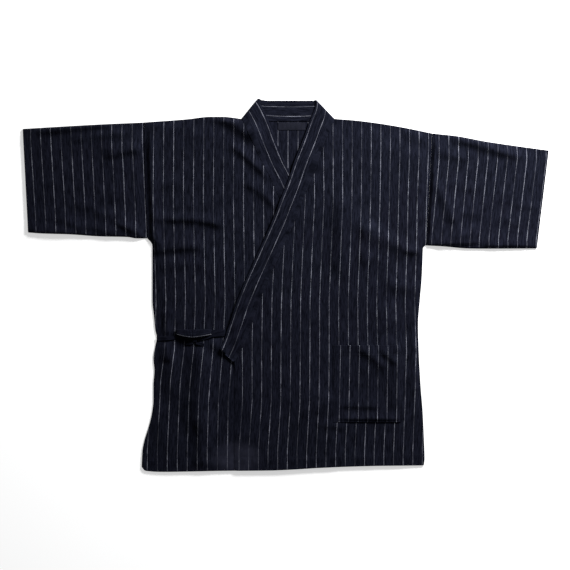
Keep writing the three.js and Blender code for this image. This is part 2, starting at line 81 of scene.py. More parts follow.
class Side(Enum):
    """The wearer's two sides. The right side is on the left of the picture."""

    RIGHT = "right"
    LEFT = "left"

    @property
    def outward(self) -> float:
        """The way along x that leads out from the middle of the garment."""
        return 1.0 if self is Side.LEFT else -1.0

    def of(self, pair: Sequence[Any]) -> Any:
        """Returns this side's row of a (right, left) pair."""
        return pair[self is Side.LEFT]


def smooth(value: Array, low: float, high: float) -> Array:
    """Eases from 0 at low to 1 at high.

    Args:
        value: places to read.
        low: where the easing starts.
        high: where it ends.

    Returns:
        The eased share at each place.
    """
    share = np.clip((value - low) / (high - low), 0.0, 1.0)
    return share * share * (3.0 - 2.0 * share)


def mix(low: Array, high: Array, share: Array) -> Array:
    """Returns the straight mix of low and high by share."""
    return low + (high - low) * share


def groove(off: Array, depth: float, width: float) -> Array:
    """Returns how deep a row of stitches pulls the cloth in, by distance from the row."""
    return depth * np.exp(-0.5 * (off / width) ** 2)


def rounded(distance: Array, radius: float) -> Array:
    """Returns the share of full height near a rounded edge, by distance from it."""
    inside = np.clip(distance / radius, 0.0, 1.0)
    return np.sqrt(np.clip(1 - (1 - inside) ** 2, 0.0, 1.0))


@dataclass(frozen=True)
class Curve:
    """A smooth line through a short table, with no overshoot between its rows."""

    places: Numbers
    values: Numbers

    def at(self, place: Array) -> Array:
        """Reads the line.

        Args:
            place: where to read it; it is held at its first and last rows.

        Returns:
            The value at each place.
        """
        order = np.argsort(self.places)
        xs = np.asarray(self.places, float)[order]
        ys = np.asarray(self.values, float)[order]
        gaps = np.diff(xs)
        rates = np.diff(ys) / gaps
        slopes = np.concatenate([rates[:1], np.zeros(len(xs) - 2), rates[-1:]])
        before, after = rates[:-1], rates[1:]
        same = before * after > 0
        wide, narrow = 2 * gaps[1:] + gaps[:-1], gaps[1:] + 2 * gaps[:-1]
        safe_before, safe_after = np.where(same, before, 1.0), np.where(same, after, 1.0)
        slopes[1:-1] = np.where(same, (wide + narrow) / (wide / safe_before + narrow / safe_after), 0.0)
        x = np.clip(np.asarray(place, float), xs[0], xs[-1])
        i = np.clip(np.searchsorted(xs, x, side="right") - 1, 0, len(xs) - 2)
        t = (x - xs[i]) / gaps[i]
        return (ys[i] * (1 + 2 * t) * (1 - t) ** 2 + slopes[i] * gaps[i] * t * (1 - t) ** 2
                + ys[i + 1] * t * t * (3 - 2 * t) + slopes[i + 1] * gaps[i] * t * t * (t - 1))


def curve(*rows: Pair) -> Curve:
    """Returns the curve through rows of (place, value)."""
    return Curve(tuple(row[0] for row in rows), tuple(row[1] for row in rows))


@dataclass(frozen=True)
class Fold:
    """A ridge of cloth from one end to the other, steeper on the side away from the light.

    Attributes:
        start: one end, in plan.
        end: the other end.
        bow: how far its middle stands off the straight line.
        lit: reach of its lit side.
        shade: reach of its shaded side.
        height: height of its crest, or depth of a trough where it is negative.
        ends: share of its length over which each end fades out.
    """

    start: Pair
    end: Pair
    bow: float
    lit: float
    shade: float
    height: float
    ends: float = 0.28

    def height_at(self, x: Array, y: Array) -> Array:
        """Height that the ridge adds at each place.

        Args:
            x: places across the garment.
            y: places up the garment.

        Returns:
            The added heights.
        """
        dx, dy = self.end[0] - self.start[0], self.end[1] - self.start[1]
        length = math.hypot(dx, dy)
        t = ((x - self.start[0]) * dx + (y - self.start[1]) * dy) / length**2
        inside = np.clip(t, 0.0, 1.0)
        off = ((y - self.start[1]) * dx - (x - self.start[0]) * dy) / length
        off = off - 4 * self.bow * inside * (1 - inside)
        facing = 1.0 if dx - dy >= 0 else -1.0
        width = np.where(off * facing > 0, self.lit, self.shade)
        fade = smooth(inside, 0.0, self.ends) * smooth(1 - inside, 0.0, self.ends)
        return self.height * fade * np.exp(-0.5 * (off / width) ** 2)


def folded(folds: Iterable[Fold | Wrinkles], x: Array, y: Array) -> Array:
    """Returns the summed height of all the folds or wrinkles at each place."""
    return sum((fold.height_at(x, y) for fold in folds), np.zeros(np.broadcast(x, y).shape))


@dataclass(frozen=True)
class Wrinkles:
    """Soft unevenness of washed cotton: seeded bumps on a stretched grid.

    Attributes:
        seed: seed of the bumps.
        across: size of a bump across the garment.
        up: size of a bump up the garment.
        height: height of the highest bumps.
        lean: how far the bumps lean over as they go up.
        size: number of bumps before they repeat.
        sways: how far the grid sways across and up.
        turns: how slowly it sways across and up.
    """

    seed: int
    across: float
    up: float
    height: float
    lean: float = 0.0
    size: int = 64
    sways: Pair = (9.0, 6.0)
    turns: Pair = (57.0, 43.0)

    def height_at(self, x: Array, y: Array) -> Array:
        """Height of the unevenness.

        Args:
            x: places across the garment.
            y: places up the garment.

        Returns:
            The heights, around 0.
        """
        table = np.random.default_rng(self.seed).uniform(-1, 1, (self.size, self.size))
        sway = self.sways[0] * np.sin(y / self.turns[0] + self.seed)
        lift = self.sways[1] * np.sin(x / self.turns[1] + self.seed)
        u = (x + self.lean * y + sway) / self.across + self.size
        v = (y + lift) / self.up + self.size
        i, j = np.floor(u).astype(int), np.floor(v).astype(int)
        s, t = u - i, v - j
        s, t = s * s * s * (s * (6 * s - 15) + 10), t * t * t * (t * (6 * t - 15) + 10)
        i, j, i_after, j_after = (n % self.size for n in (i, j, i + 1, j + 1))
        low = mix(table[i, j], table[i_after, j], s)
        high = mix(table[i, j_after], table[i_after, j_after], s)
        return self.height * mix(low, high, t)


@dataclass(frozen=True)
class ArmholeLine:
    """The seam between body and sleeve: a slightly bowed line down from the shoulder."""

    top: float
    bottom: float
    x_top: float
    slope: float
    bow: float

    def x_at(self, y: Array) -> Array:
        """Returns the place across at each height."""
        share = (self.top - y) / (self.top - self.bottom)
        return self.x_top + self.slope * share + self.bow * share**2


@dataclass(frozen=True)
class BandLine:
    """One front's stretch of collar band: sewn edge, folded edge and height over the floor."""

    sewn: Curve
    folded: Curve
    height: Curve


BODY_FOLDS = (
    Fold((-190, 389), (-45, 301), 13, 18, 10.5, 9.4),
    Fold((-131, 317), (-30, 228), 5, 9, 7, 5.7),
    Fold((-102, 234), (-8, 168), 5, 13.5, 8, 4.8),
    Fold((-266, 145), (-122, 126), 9, 9, 6, 6.2),
    Fold((-298, 146), (-230, 146), 0, 9, 5, 3.1),
    Fold((-258, 170), (-187, 170), 3, 9, 6, 1.8),
    Fold((-326, 66), (-164, 83), 9, 13.5, 7, 7.0),
    Fold((-298, 38), (-154, 49), 3, 12.5, 9, 2.8),
    Fold((-232, 328), (-143, 326), 3, 11, 6.5, 2.4),
    Fold((-298, 218), (-214, 229), 0, 13.5, 8, 2),
    Fold((-298, 355), (-231, 341), 0, 6.5, 13, 2.5),
    Fold((-262, -45), (-262, -120), 0, 8, 6.5, 3.9),
    Fold((-184, -108), (-197, -340), 0, 18, 17, 8.6),
    Fold((-247, -122), (-258, -252), 0, 11, 10.5, 3.6),
    Fold((-181, -270), (-188, -430), 0, 15.5, 13, 5.6),
    Fold((120, 232), (117, -2), 2, 26, 12, 6.8),
    Fold((130, 150), (296, 66), -3, 12, 13, 5.8),
    Fold((178, 150), (172, 40), 0, 13.5, 11, 6.2),
    Fold((153, 51), (220, 60), 0, 8, 10.5, 2.2),
    Fold((252, 78), (306, 73), 0, 6.5, 5, 3.9),
    Fold((204, 10), (316, -14), 0, 13.5, 11.5, 5.2),
    Fold((39, 251), (125, 273), 0, 11, 6.5, 2.1),
    Fold((252, 335), (318, 318), 0, 9, 9, 3.6),
    Fold((248, 298), (318, 268), 0, 11, 18, 3.5),
    Fold((279, -20), (288, -320), 0, 6.5, 9, 4.8),
    Fold((246, -98), (243, -285), 0, 9, 15.5, 3.6),
    Fold((156, -127), (226, -186), 0, 9, 8, 5.0),
    Fold((206, -141), (250, -173), 0, 6.5, 6.5, 4.4),
    Fold((191, -138), (270, -138), 0, 15.5, 8, 3.6),
    Fold((217, -32), (219, -112), 0, 13.5, 13, 2.8),
    Fold((21, -257), (131, -270), 0, 33.5, 18, 4.2),
    Fold((59, -303), (143, -312), 0, 9, 6.5, 2.8),
    Fold((-24, 186), (-60, 88), 0, 7, 9, -4.6),
    Fold((-110, -14), (-142, -108), 0, 7, 8, -3.6),
    Fold((-262, -122), (-258, -172), 0, 8, 9, 4.2),
    Fold((-174, -116), (-124, -154), 0, 9, 8, 4.8),
)

SLEEVE_FOLDS = {
    Side.RIGHT: (
        Fold((-572, 336), (-352, 360), 0, 9, 7, 10.5),
        Fold((-484, 316), (-330, 338), 3, 9, 6.5, 4.4),
        Fold((-580, 118), (-400, 111), 0, 16, 2, 2.6),
        Fold((-430, 114), (-318, 107), 0, 20, 2.5, 3.2),
        Fold((-412, 281), (-278, 313), 0, 13.5, 6.5, 8.0),
        Fold((-392, 198), (-340, 203), 0, 11, 11.5, 2.4),
        Fold((-466, 174), (-410, 176), 0, 9, 6.5, 2.2),
        Fold((-422, 157), (-375, 157), 0, 6.5, 6, 2.2),
        Fold((-506, 151), (-436, 125), 0, 9, 7, 3.9),
        Fold((-458, 138), (-357, 112), 0, 10, 6.5, 3.4),
        Fold((-384, 146), (-296, 104), 0, 10, 6, 5.8),
        Fold((-590, 119), (-446, 114), 0, 12, 2, 3.0),
    ),
    Side.LEFT: (
        Fold((338, 335), (542, 276), 0, 10, 8, 8.2),
        Fold((322, 240), (387, 112), 0, 10, 9.5, 5.6),
        Fold((310, 89), (440, 95), 0, 14, 2, 5.0),
        Fold((356, 106), (433, 121), 0, 12, 8, 4.4),
        Fold((414, 88), (560, 88), 0, 12, 2, 3.8),
        Fold((326, 294), (416, 275), 0, 10, 6.5, 3.5),
        Fold((494, 177), (566, 172), 0, 8, 6, 2.1),
        Fold((366, 164), (438, 154), 0, 9, 6.5, 2),
        Fold((472, 148), (522, 130), 0, 9, 6.5, 2),
        Fold((384, 223), (430, 209), 0, 9, 8, 1.5),
    ),
}

BODY_WRINKLES = (
    Wrinkles(11, 14, 75, 0.42),
    Wrinkles(12, 46, 58, 1.1, 0.3),
    Wrinkles(13, 60, 17, 0.30),
)

SLEEVE_WRINKLES = (
    Wrinkles(21, 40, 11, 0.42, 0.4),
    Wrinkles(22, 50, 34, 0.9),
)


@dataclass(frozen=True)
class Garment:
    """The outline of the body and the heights of its layers, which every piece is made from."""

    cloth: float = 1.2
    hem_extra: float = 0.55
    band_cloth: float = 2.4
    seam_gap: float = 0.3
    layer_gap: float = 0.7
    piece_gap: float = 0.45
    edge_inset: float = 0.18
    hem_depth: float = 25.0
    hem_step: float = 3.0
    hem_breaks: Triple = (-3.0, 0.0, 3.0)
    ditch_inset: float = 1.5
    ditch_depth: float = 0.35
    ditch_width: float = 1.4
    body_rise: float = 2.5
    armhole_rise: Pair = (1.15, 0.15)
    free_front_rise: float = 1.1
    front_edge_height: float = 1.6
    side_reach: float = 65.0
    armhole_reach: Pair = (15.0, 30.0)
    armhole_swell: Pair = (1.7, 0.0)
    shoulder_reach: float = 55.0
    hem_reach: float = 70.0
    hem_rise: float = 0.45
    lap_reach: float = 34.0
    lap_levels: Pair = (165.0, 235.0)
    front_edge: float = -112.8
    under_edge: float = 127.0
    collar_end: float = -168.9
    neck: float = 367.0
    neck_points: Pair = (-97.4, 107.0)
    hem_feet: Pair = (-397.7, -394.6)
    relief_reach: float = 11.0
    hem_relief: float = 0.35

    @property
    def pressed(self) -> float:
        """Height of a front's lower face where it is pressed on the back."""
        return self.cloth + self.seam_gap

    @property
    def meeting(self) -> float:
        """Height at which the pressed edges of a front and the back meet."""
        return self.cloth + self.seam_gap / 2

    def armhole(self, side: Side) -> ArmholeLine:
        """Returns one side's armhole line."""
        if side is Side.RIGHT:
            return ArmholeLine(359, 104, -311.8, 0, 7.4)
        return ArmholeLine(335, 88.6, 321.7, -11.57, -2.63)

    def side_seam(self, side: Side) -> Curve:
        """Returns one side's seam from the armhole to the hem, as places across by height."""
        if side is Side.RIGHT:
            return curve((104, -304.4), (97.4, -297.6), (88.6, -293.2), (-32.5, -293.2),
                         (-65.5, -289.9), (-98.5, -286.6), (-113.9, -283.3), (-131.5, -286.6),
                         (-160, -291), (-186.5, -288.8), (-219.5, -291), (-252.5, -291),
                         (-274.5, -293.2), (-296.5, -297.6), (-318.5, -304), (-340.5, -310.8),
                         (-362.5, -315), (-397.7, -316.8))
        return curve((88.6, 307.5), (84, 302), (55.6, 300.9), (11.6, 298.7), (-25.9, 295.4),
                     (-87.5, 291), (-131.5, 292), (-219.5, 296.5), (-274.5, 300.9),
                     (-340.5, 304), (-380, 305.3), (-394.6, 303.6))

    def shoulder(self, side: Side) -> Curve:
        """Returns one shoulder's fold, as heights by place across."""
        if side is Side.RIGHT:
            return curve((-311.8, 359), (-218, 366), (-166, 371.5), (-139, 371.5), (-97.4, 367))
        return curve((107, 367), (151, 363.6), (204, 357), (257, 348.2), (321.7, 335))

    def hem(self) -> Curve:
        """Returns the lower edge of the body, as heights by place across."""
        return curve((-316.8, -397.7), (-308.6, -406.5), (-271, -408.7), (-143.6, -406.5),
                     (-33.6, -405.4), (19, -403.2), (72, -399.9), (125, -397.7), (204, -395.5),
                     (303.6, -394.6))

    def back_neck(self) -> Curve:
        """Returns the back's upper edge, tucked under the collar, as heights by place across."""
        return curve((-97.4, 365.2), (-80, 364.8), (80, 364.8), (107, 365.2))

    def back_top(self, x: Array) -> Array:
        """Returns the back's upper edge: a shoulder on each side and the neck between them."""
        right, left = (self.shoulder(side).at(x) for side in Side)
        neck = self.back_neck().at(x) - self.seam_gap
        low, high = self.neck_points
        return np.where(x < low, right, np.where(x > high, left, neck))

    def band(self, side: Side) -> BandLine:
        """Returns one front's stretch of collar band."""
        if side is Side.RIGHT:
            return BandLine(
                sewn=curve((367, -97.4), (319.6, -76), (275.6, -55), (241, -37), (220.6, -28),
                           (187.6, -13), (143.6, 5), (99.6, 24), (55.6, 43), (11.6, 61),
                           (-32.5, 77), (-76.5, 91), (-120.5, 105), (-168.9, 127)),
                folded=curve((408.5, -62.5), (396.6, -54.5), (363.6, -38.5), (319.6, -21.7),
                             (275.6, -3.6), (241, 14.2), (187.6, 37), (143.6, 55), (99.6, 74),
                             (55.6, 93), (11.6, 111), (-32.5, 127), (-76.5, 141), (-120.5, 155),
                             (-140.3, 162)),
                height=curve((367, 3), (325, 3), (290, 1.9), (-168.9, 1.7)))
        return BandLine(
            sewn=curve((367, 107), (361.4, 105.5), (317.4, 87.5), (255.8, 66.5), (205.2, 44.5),
                       (143.6, 20.8), (99.6, 1.2), (55.6, -18.6), (11.6, -38.4), (-32.5, -56.4),
                       (-76.5, -71.2), (-120.5, -87.5), (-168.9, -112.8)),
            folded=curve((408.5, 66.5), (396.6, 65), (359, 51.2), (319.6, 36.9), (275.6, 19.5),
                         (231.6, 4.5), (187.6, -12.7), (143.6, -29.8), (99.6, -49.4),
                         (55.6, -69.2), (11.6, -89), (-32.5, -107), (-76.5, -121.8),
                         (-120.5, -136.7), (-140.3, -144.7)),
            height=curve((367, 3), (315, 3), (280, 3.4), (240, 4.7), (215, 5.1), (170, 5.5),
                         (120, 5.8), (60, 5.95), (-168.9, 5.95)))

    def side_x(self, side: Side, y: Array) -> Array:
        """Returns the body's outer edge: the armhole above, the side seam below."""
        line = self.armhole(side)
        return np.where(y >= line.bottom, line.x_at(y), self.side_seam(side).at(y))

    def front_x(self, side: Side, y: Array) -> Array:
        """Returns a front's inner edge: sewn to the band above, free below it."""
        free = self.front_edge if side is Side.LEFT else self.under_edge
        return np.where(y < self.collar_end, free, self.band(side).sewn.at(y))

    def loft(self, x: Array, y: Array) -> Array:
        """How far the body cloth has risen from its pressed edges.

        Args:
            x: places across.
            y: places up.

        Returns:
            The share, from 0 at a pressed edge to 1 well inside.
        """
        total = np.zeros(np.broadcast(x, y).shape)
        for side, chosen in ((Side.RIGHT, x < 0), (Side.LEFT, x >= 0)):
            inward = np.abs(self.side_x(side, y) - x)
            opening = self.armhole(side).bottom
            reach, swell, held = map(side.of, (self.armhole_reach, self.armhole_swell,
                                               self.armhole_rise))
            crest = swell * np.exp(-((inward - reach) / (0.8 * reach)) ** 2)
            at_sleeve = mix(held / self.body_rise, 1.0, smooth(inward, 0, reach))
            at_sleeve = at_sleeve + crest * smooth(inward, 0, reach)
            at_seam = smooth(inward, -4, self.side_reach)
            edge = mix(at_seam, at_sleeve, smooth(y, opening - 30, opening + 10))
            down = self.shoulder(side).at(x) - y
            share = edge * smooth(down, -6, self.shoulder_reach)
            total = np.where(chosen, share, total)
        up = y - self.hem().at(x)
        return total * mix(self.hem_rise, 1.0, smooth(up, 0, self.hem_reach))

    def relief(self, x: Array, y: Array) -> Array:
        """Returns the folds and wrinkles of the body, faded at its pressed edges."""
        inward = np.minimum(x - self.side_x(Side.RIGHT, y), self.side_x(Side.LEFT, y) - x)
        down = np.where(x < 0, self.shoulder(Side.RIGHT).at(x), self.shoulder(Side.LEFT).at(x)) - y
        up = y - self.hem().at(x)
        fade = smooth(inward, 0, self.relief_reach) * smooth(down, 0, self.relief_reach)
        fade = fade * mix(self.hem_relief, 1.0, smooth(up, 0, self.hem_depth))
        return (folded(BODY_FOLDS, x, y) + folded(BODY_WRINKLES, x, y)) * fade

    def inside(self, x: Array, y: Array) -> Array:
        """Returns the height of a front's lower face where nothing lies between it and the back."""
        raised = self.pressed + self.body_rise * self.loft(x, y) + self.relief(x, y)
        return np.maximum(raised, self.pressed)

    def under_front(self, x: Array, y: Array) -> Array:
        """Returns the lower face of the right front, which lies under."""
        inside = self.inside(x, y)
        lap = smooth(self.front_x(Side.RIGHT, y) - x, 0, self.lap_reach)
        lap = mix(lap, 1.0, self.above_lap(y))
        return mix(np.minimum(inside, self.front_edge_height), inside, lap)

    def above_lap(self, y: Array) -> Array:
        """Returns 1 above the place where the left front starts to cover the right, else 0."""
        return smooth(y, *self.lap_levels)

    def over_front(self, x: Array, y: Array) -> Array:
        """Returns the lower face of the left front, which laps over."""
        lap = smooth(self.front_x(Side.RIGHT, y) - x, 0, self.lap_reach)
        near_side = smooth(self.side_x(Side.LEFT, y) - x, 0, self.side_reach)
        near_neck = smooth(self.shoulder(Side.LEFT).at(x) - y, 0, self.shoulder_reach)
        free = self.free_front_rise * near_side * near_neck
        inside = self.inside(x, y)
        return inside + mix(free, self.thickness(x, y) + self.layer_gap, lap)

    def turned_hem(self, up: Array, depth: float) -> Array:
        """Returns what a hem of one depth adds to the cloth, less the ditch of its stitches."""
        turned = self.hem_extra * (1 - smooth(up, depth, depth + self.hem_step))
        return turned - groove(up - depth + self.ditch_inset, self.ditch_depth, self.ditch_width)

    def thickness(self, x: Array, y: Array) -> Array:
        """Returns the thickness of the body cloth, doubled over at its hem."""
        return self.cloth + self.turned_hem(y - self.hem().at(x), self.hem_depth)

    def under_front_top(self, x: Array, y: Array) -> Array:
        """Returns the upper face of the right front, which the bow lies on."""
        return self.under_front(x, y) + self.thickness(x, y)

    def over_front_top(self, x: Array, y: Array) -> Array:
        """Returns the upper face of the left front, which the pocket lies on."""
        return self.over_front(x, y) + self.thickness(x, y)


@dataclass(frozen=True)
class StripeLay:
    """Where a piece's stripes fall: one stripe's place and the pitch, at some heights."""

    heights: Numbers
    places: Numbers
    pitches: Numbers
    woven_pitch: float = 22.0

    def places_of(self, x: Array, y: Array) -> Array:
        """Returns places on the uncut cloth, where stripes are one woven pitch apart."""
        order = np.argsort(self.heights)
        levels = np.asarray(self.heights, float)[order]
        place = np.interp(y, levels, np.asarray(self.places, float)[order])
        pitch = np.interp(y, levels, np.asarray(self.pitches, float)[order])
        return np.dstack([(x - place) / pitch * self.woven_pitch, y])


def spread(length: float, size: float, near: Sequence[float] = (), breaks: Sequence[float] = ()
           ) -> Array:
    """Shares of a run, from 0 to 1 and at most one size apart.

    Args:
        length: length of the run.
        size: largest step, in the units of length.
        near: distances from both ends that are kept.
        breaks: shares that are kept.

    Returns:
        The shares, rising.
    """
    ends = [step / length for step in near]
    wanted = (*ends, *[1 - end for end in ends], *breaks)
    kept = sorted({0.0, 1.0, *[share for share in wanted if 0.0005 < share < 0.9995]})
    runs = [np.linspace(a, b, max(1, math.ceil((b - a) * length / size)) + 1)[1:]
            for a, b in zip(kept[:-1], kept[1:])]
    return np.concatenate([[0.0], *runs])


def level_edge(start: float, stop: float, height: EdgeLine) -> EdgeLine:
    """Returns an edge that runs evenly across from start to stop, at a height read by place."""
    return lambda share: np.stack([mix(start, stop, share), height(mix(start, stop, share))], axis=-1)


def upright_edge(start: float, stop: float, place: EdgeLine) -> EdgeLine:
    """Returns an edge that runs evenly up from start to stop, at a place read by height."""
    return lambda share: np.stack([place(mix(start, stop, share)), mix(start, stop, share)], axis=-1)


def straight_edge(start: Array, stop: Array) -> EdgeLine:
    """Returns the straight edge between two places."""
    return lambda share: mix(start, stop, np.asarray(share)[..., None])


def patch(left: EdgeLine, right: EdgeLine, low: EdgeLine, high: EdgeLine,
          across: Array, along: Array) -> Array:
    """A grid of places between four edges.

    Args:
        left: edge on the left, from the bottom up.
        right: edge on the right, from the bottom up.
        low: bottom edge, from the left.
        high: top edge, from the left.
        across: shares from the left.
        along: shares from the bottom.

    Returns:
        Places as an array of rows, columns and two numbers.
    """
    s, v = across[None, :, None], along[:, None, None]
    sides = mix(left(along)[:, None, :], right(along)[:, None, :], s)
    ends = mix(low(across)[None, :, :], high(across)[None, :, :], v)
    lefts, rights = left(np.array([0.0, 1.0])), right(np.array([0.0, 1.0]))
    corners = mix(mix(lefts[0], rights[0], s), mix(lefts[1], rights[1], s), v)
    return sides + ends - corners


def placed(name: str, data: bpy.types.ID) -> Piece:
    """Returns a new object in the scene, at the origin."""
    item = bpy.data.objects.new(name, data)
    bpy.context.scene.collection.objects.link(item)
    return item


def write_mesh(name: str, points: Array, faces: list[Array], cloth_map: Array,
               material: Material) -> Piece:
    """Writes one piece as a smooth mesh with its place on the uncut cloth as its UV map.

    Args:
        name: name of the piece.
        points: places in millimetres.
        faces: arrays of quads or triangles, as point numbers.
        cloth_map: place on the cloth for each point, in millimetres.
        material: finish of the piece.

    Returns:
        The new object, at the origin.
    """
    mesh = bpy.data.meshes.new(name)
    loops = np.concatenate([part.reshape(-1) for part in faces]).astype(np.int32)
    sizes = np.concatenate([np.full(len(part), part.shape[1]) for part in faces])
    starts = np.concatenate([[0], np.cumsum(sizes)[:-1]]).astype(np.int32)
    mesh.vertices.add(len(points))
    mesh.vertices.foreach_set("co", (points * METRE).astype(np.float32).reshape(-1))
    mesh.loops.add(len(loops))
    mesh.loops.foreach_set("vertex_index", loops)
    mesh.polygons.add(len(starts))
    mesh.polygons.foreach_set("loop_start", starts)
    mesh.polygons.foreach_set("use_smooth", np.ones(len(starts), bool))
    layer = mesh.uv_layers.new(name="cloth")
    layer.data.foreach_set("uv", (cloth_map[loops] * METRE).astype(np.float32).reshape(-1))
    mesh.update(calc_edges=True)
    mesh.validate()
    mesh.materials.append(material)
    return placed(name, mesh)


def grid_faces(rows: int, columns: int, start: int, closed: bool = False) -> Array:
    """Quads of a grid of points.

    Args:
        rows: number of rows.
        columns: number of points in a row.
        start: number of the first point.
        closed: whether each row joins up with its own start.

    Returns:
        The quads, turned so that a grid with rising x and y faces up.
    """
    numbers = np.arange(rows * columns).reshape(rows, columns) + start
    after = np.roll(numbers, -1, axis=1)
    stop = columns if closed else columns - 1
    corners = [numbers[:-1, :stop], after[:-1, :stop], after[1:, :stop], numbers[1:, :stop]]
    return np.stack(corners, axis=-1).reshape(-1, 4)


def rim_loop(rows: int, columns: int) -> Array:
    """Returns the point numbers round the edge of a grid, in order."""
    numbers = np.arange(rows * columns).reshape(rows, columns)
    return np.concatenate([numbers[0, :-1], numbers[:-1, -1], numbers[-1, :0:-1], numbers[:0:-1, 0]])


def shell(name: str, places: Array, under: Array, over: Array, cloth_map: Array,
          material: Material) -> Piece:
    """A closed wall of cloth between two faces, with a rounded rim.

    Args:
        name: name of the piece.
        places: grid of places in plan.
        under: heights of the lower face.
        over: heights of the upper face.
        cloth_map: grid of places on the uncut cloth.
        material: finish of the piece.

    Returns:
        The new object.
    """
    rows, columns = under.shape
    lower = np.dstack([places, under]).reshape(-1, 3)
    upper = np.dstack([places, over]).reshape(-1, 3)
    count = rows * columns
    rim = rim_loop(rows, columns)
    ahead, behind = np.roll(rim, -1), np.roll(rim, 1)
    run = upper[ahead, :2] - upper[behind, :2]
    outward = np.stack([run[:, 1], -run[:, 0]], axis=1)
    outward = outward / np.maximum(np.linalg.norm(outward, axis=1, keepdims=True), 1e-6)
    middle = (lower[rim] + upper[rim]) / 2
    middle[:, :2] += outward * ((upper[rim, 2] - lower[rim, 2]) * 0.22)[:, None]
    points = np.concatenate([lower, upper, middle])
    upper_faces = grid_faces(rows, columns, count)
    lower_faces = grid_faces(rows, columns, 0)[:, ::-1]
    ring = np.arange(len(rim)) + 2 * count
    ring_after = np.roll(ring, -1)
    low_band = np.stack([rim, ahead, ring_after, ring], axis=1)
    high_band = np.stack([ring, ring_after, ahead + count, rim + count], axis=1)
    flat_map = cloth_map.reshape(-1, 2)
    maps = np.concatenate([flat_map, flat_map, flat_map[rim]])
    return write_mesh(name, points, [upper_faces, lower_faces, low_band, high_band], maps, material)


def tube(name: str, rings: Array, cloth_map: Array, material: Material,
         lining: Array | None = None) -> Piece:
    """A skin through closed rings: a solid bar, or a hollow tube where it has a lining.

    Args:
        name: name of the piece.
        rings: places as stations, points round and three numbers.
        cloth_map: place on the cloth for each point of the rings.
        material: finish of the piece.
        lining: rings of the inner face, of the same shape, or None for a bar.

    Returns:
        The new object, with its faces pointing out.
    """
    stations, size = rings.shape[:2]
    count = stations * size
    faces = [grid_faces(stations, size, 0, closed=True)]
    points, maps = rings.reshape(-1, 3), cloth_map.reshape(-1, 2)
    around = np.arange(size)
    after = np.roll(around, -1)
    last = count - size
    if lining is None:
        centres = np.stack([rings[0].mean(axis=0), rings[-1].mean(axis=0)])
        points = np.concatenate([points, centres])
        maps = np.concatenate([maps, maps[[0, last]]])
        faces.append(np.stack([after, around, np.full(size, count)], axis=1))
        faces.append(np.stack([around + last, after + last, np.full(size, count + 1)], axis=1))
    else:
        points = np.concatenate([points, lining.reshape(-1, 3)])
        maps = np.concatenate([maps, maps])
        faces.append(grid_faces(stations, size, count, closed=True)[:, ::-1])
        faces.append(np.stack([after, around, around + count, after + count], axis=1))
        faces.append(np.stack([around + last, after + last, after + last + count,
                               around + last + count], axis=1))
    if signed_volume(points, faces) < 0:
        faces = [part[:, ::-1] for part in faces]
    return write_mesh(name, points, faces, maps, material)


def signed_volume(points: Array, faces: list[Array]) -> float:
    """Returns the volume inside the faces, which is negative where they point inwards."""
    total = 0.0
    for part in faces:
        for k in range(1, part.shape[1] - 1):
            a, b, c = points[part[:, 0]], points[part[:, k]], points[part[:, k + 1]]
            total += float(np.einsum("ij,ij->i", a, np.cross(b, c)).sum())
    return total / 6.0


@dataclass(frozen=True)
class Grain:
    """A noise on the cloth: its scale across and along, and how fine its detail goes."""

    across: float
    along: float
    detail: float = 2.0


def add_node(tree: bpy.types.NodeTree, kind: str, settings: dict | None = None, **inputs: object
             ) -> bpy.types.Node:
    """Adds a node to a tree.

    Args:
        tree: the tree.
        kind: the node's type name.
        settings: attributes to set on the node.
        inputs: values or sockets by input name, with _ for a space, or in0, in1 by number.

    Returns:
        The new node.
    """
    node = tree.nodes.new(kind)
    for key, value in (settings or {}).items():
        setattr(node, key, value)
    usable = {socket.name: socket for socket in node.inputs if socket.enabled}
    usable.update({f"in{number}": socket for number, socket in enumerate(node.inputs)})
    for key, value in inputs.items():
        if isinstance(value, Socket):
            tree.links.new(value, usable[key.replace("_", " ")])
        else:
            usable[key.replace("_", " ")].default_value = value
    return node


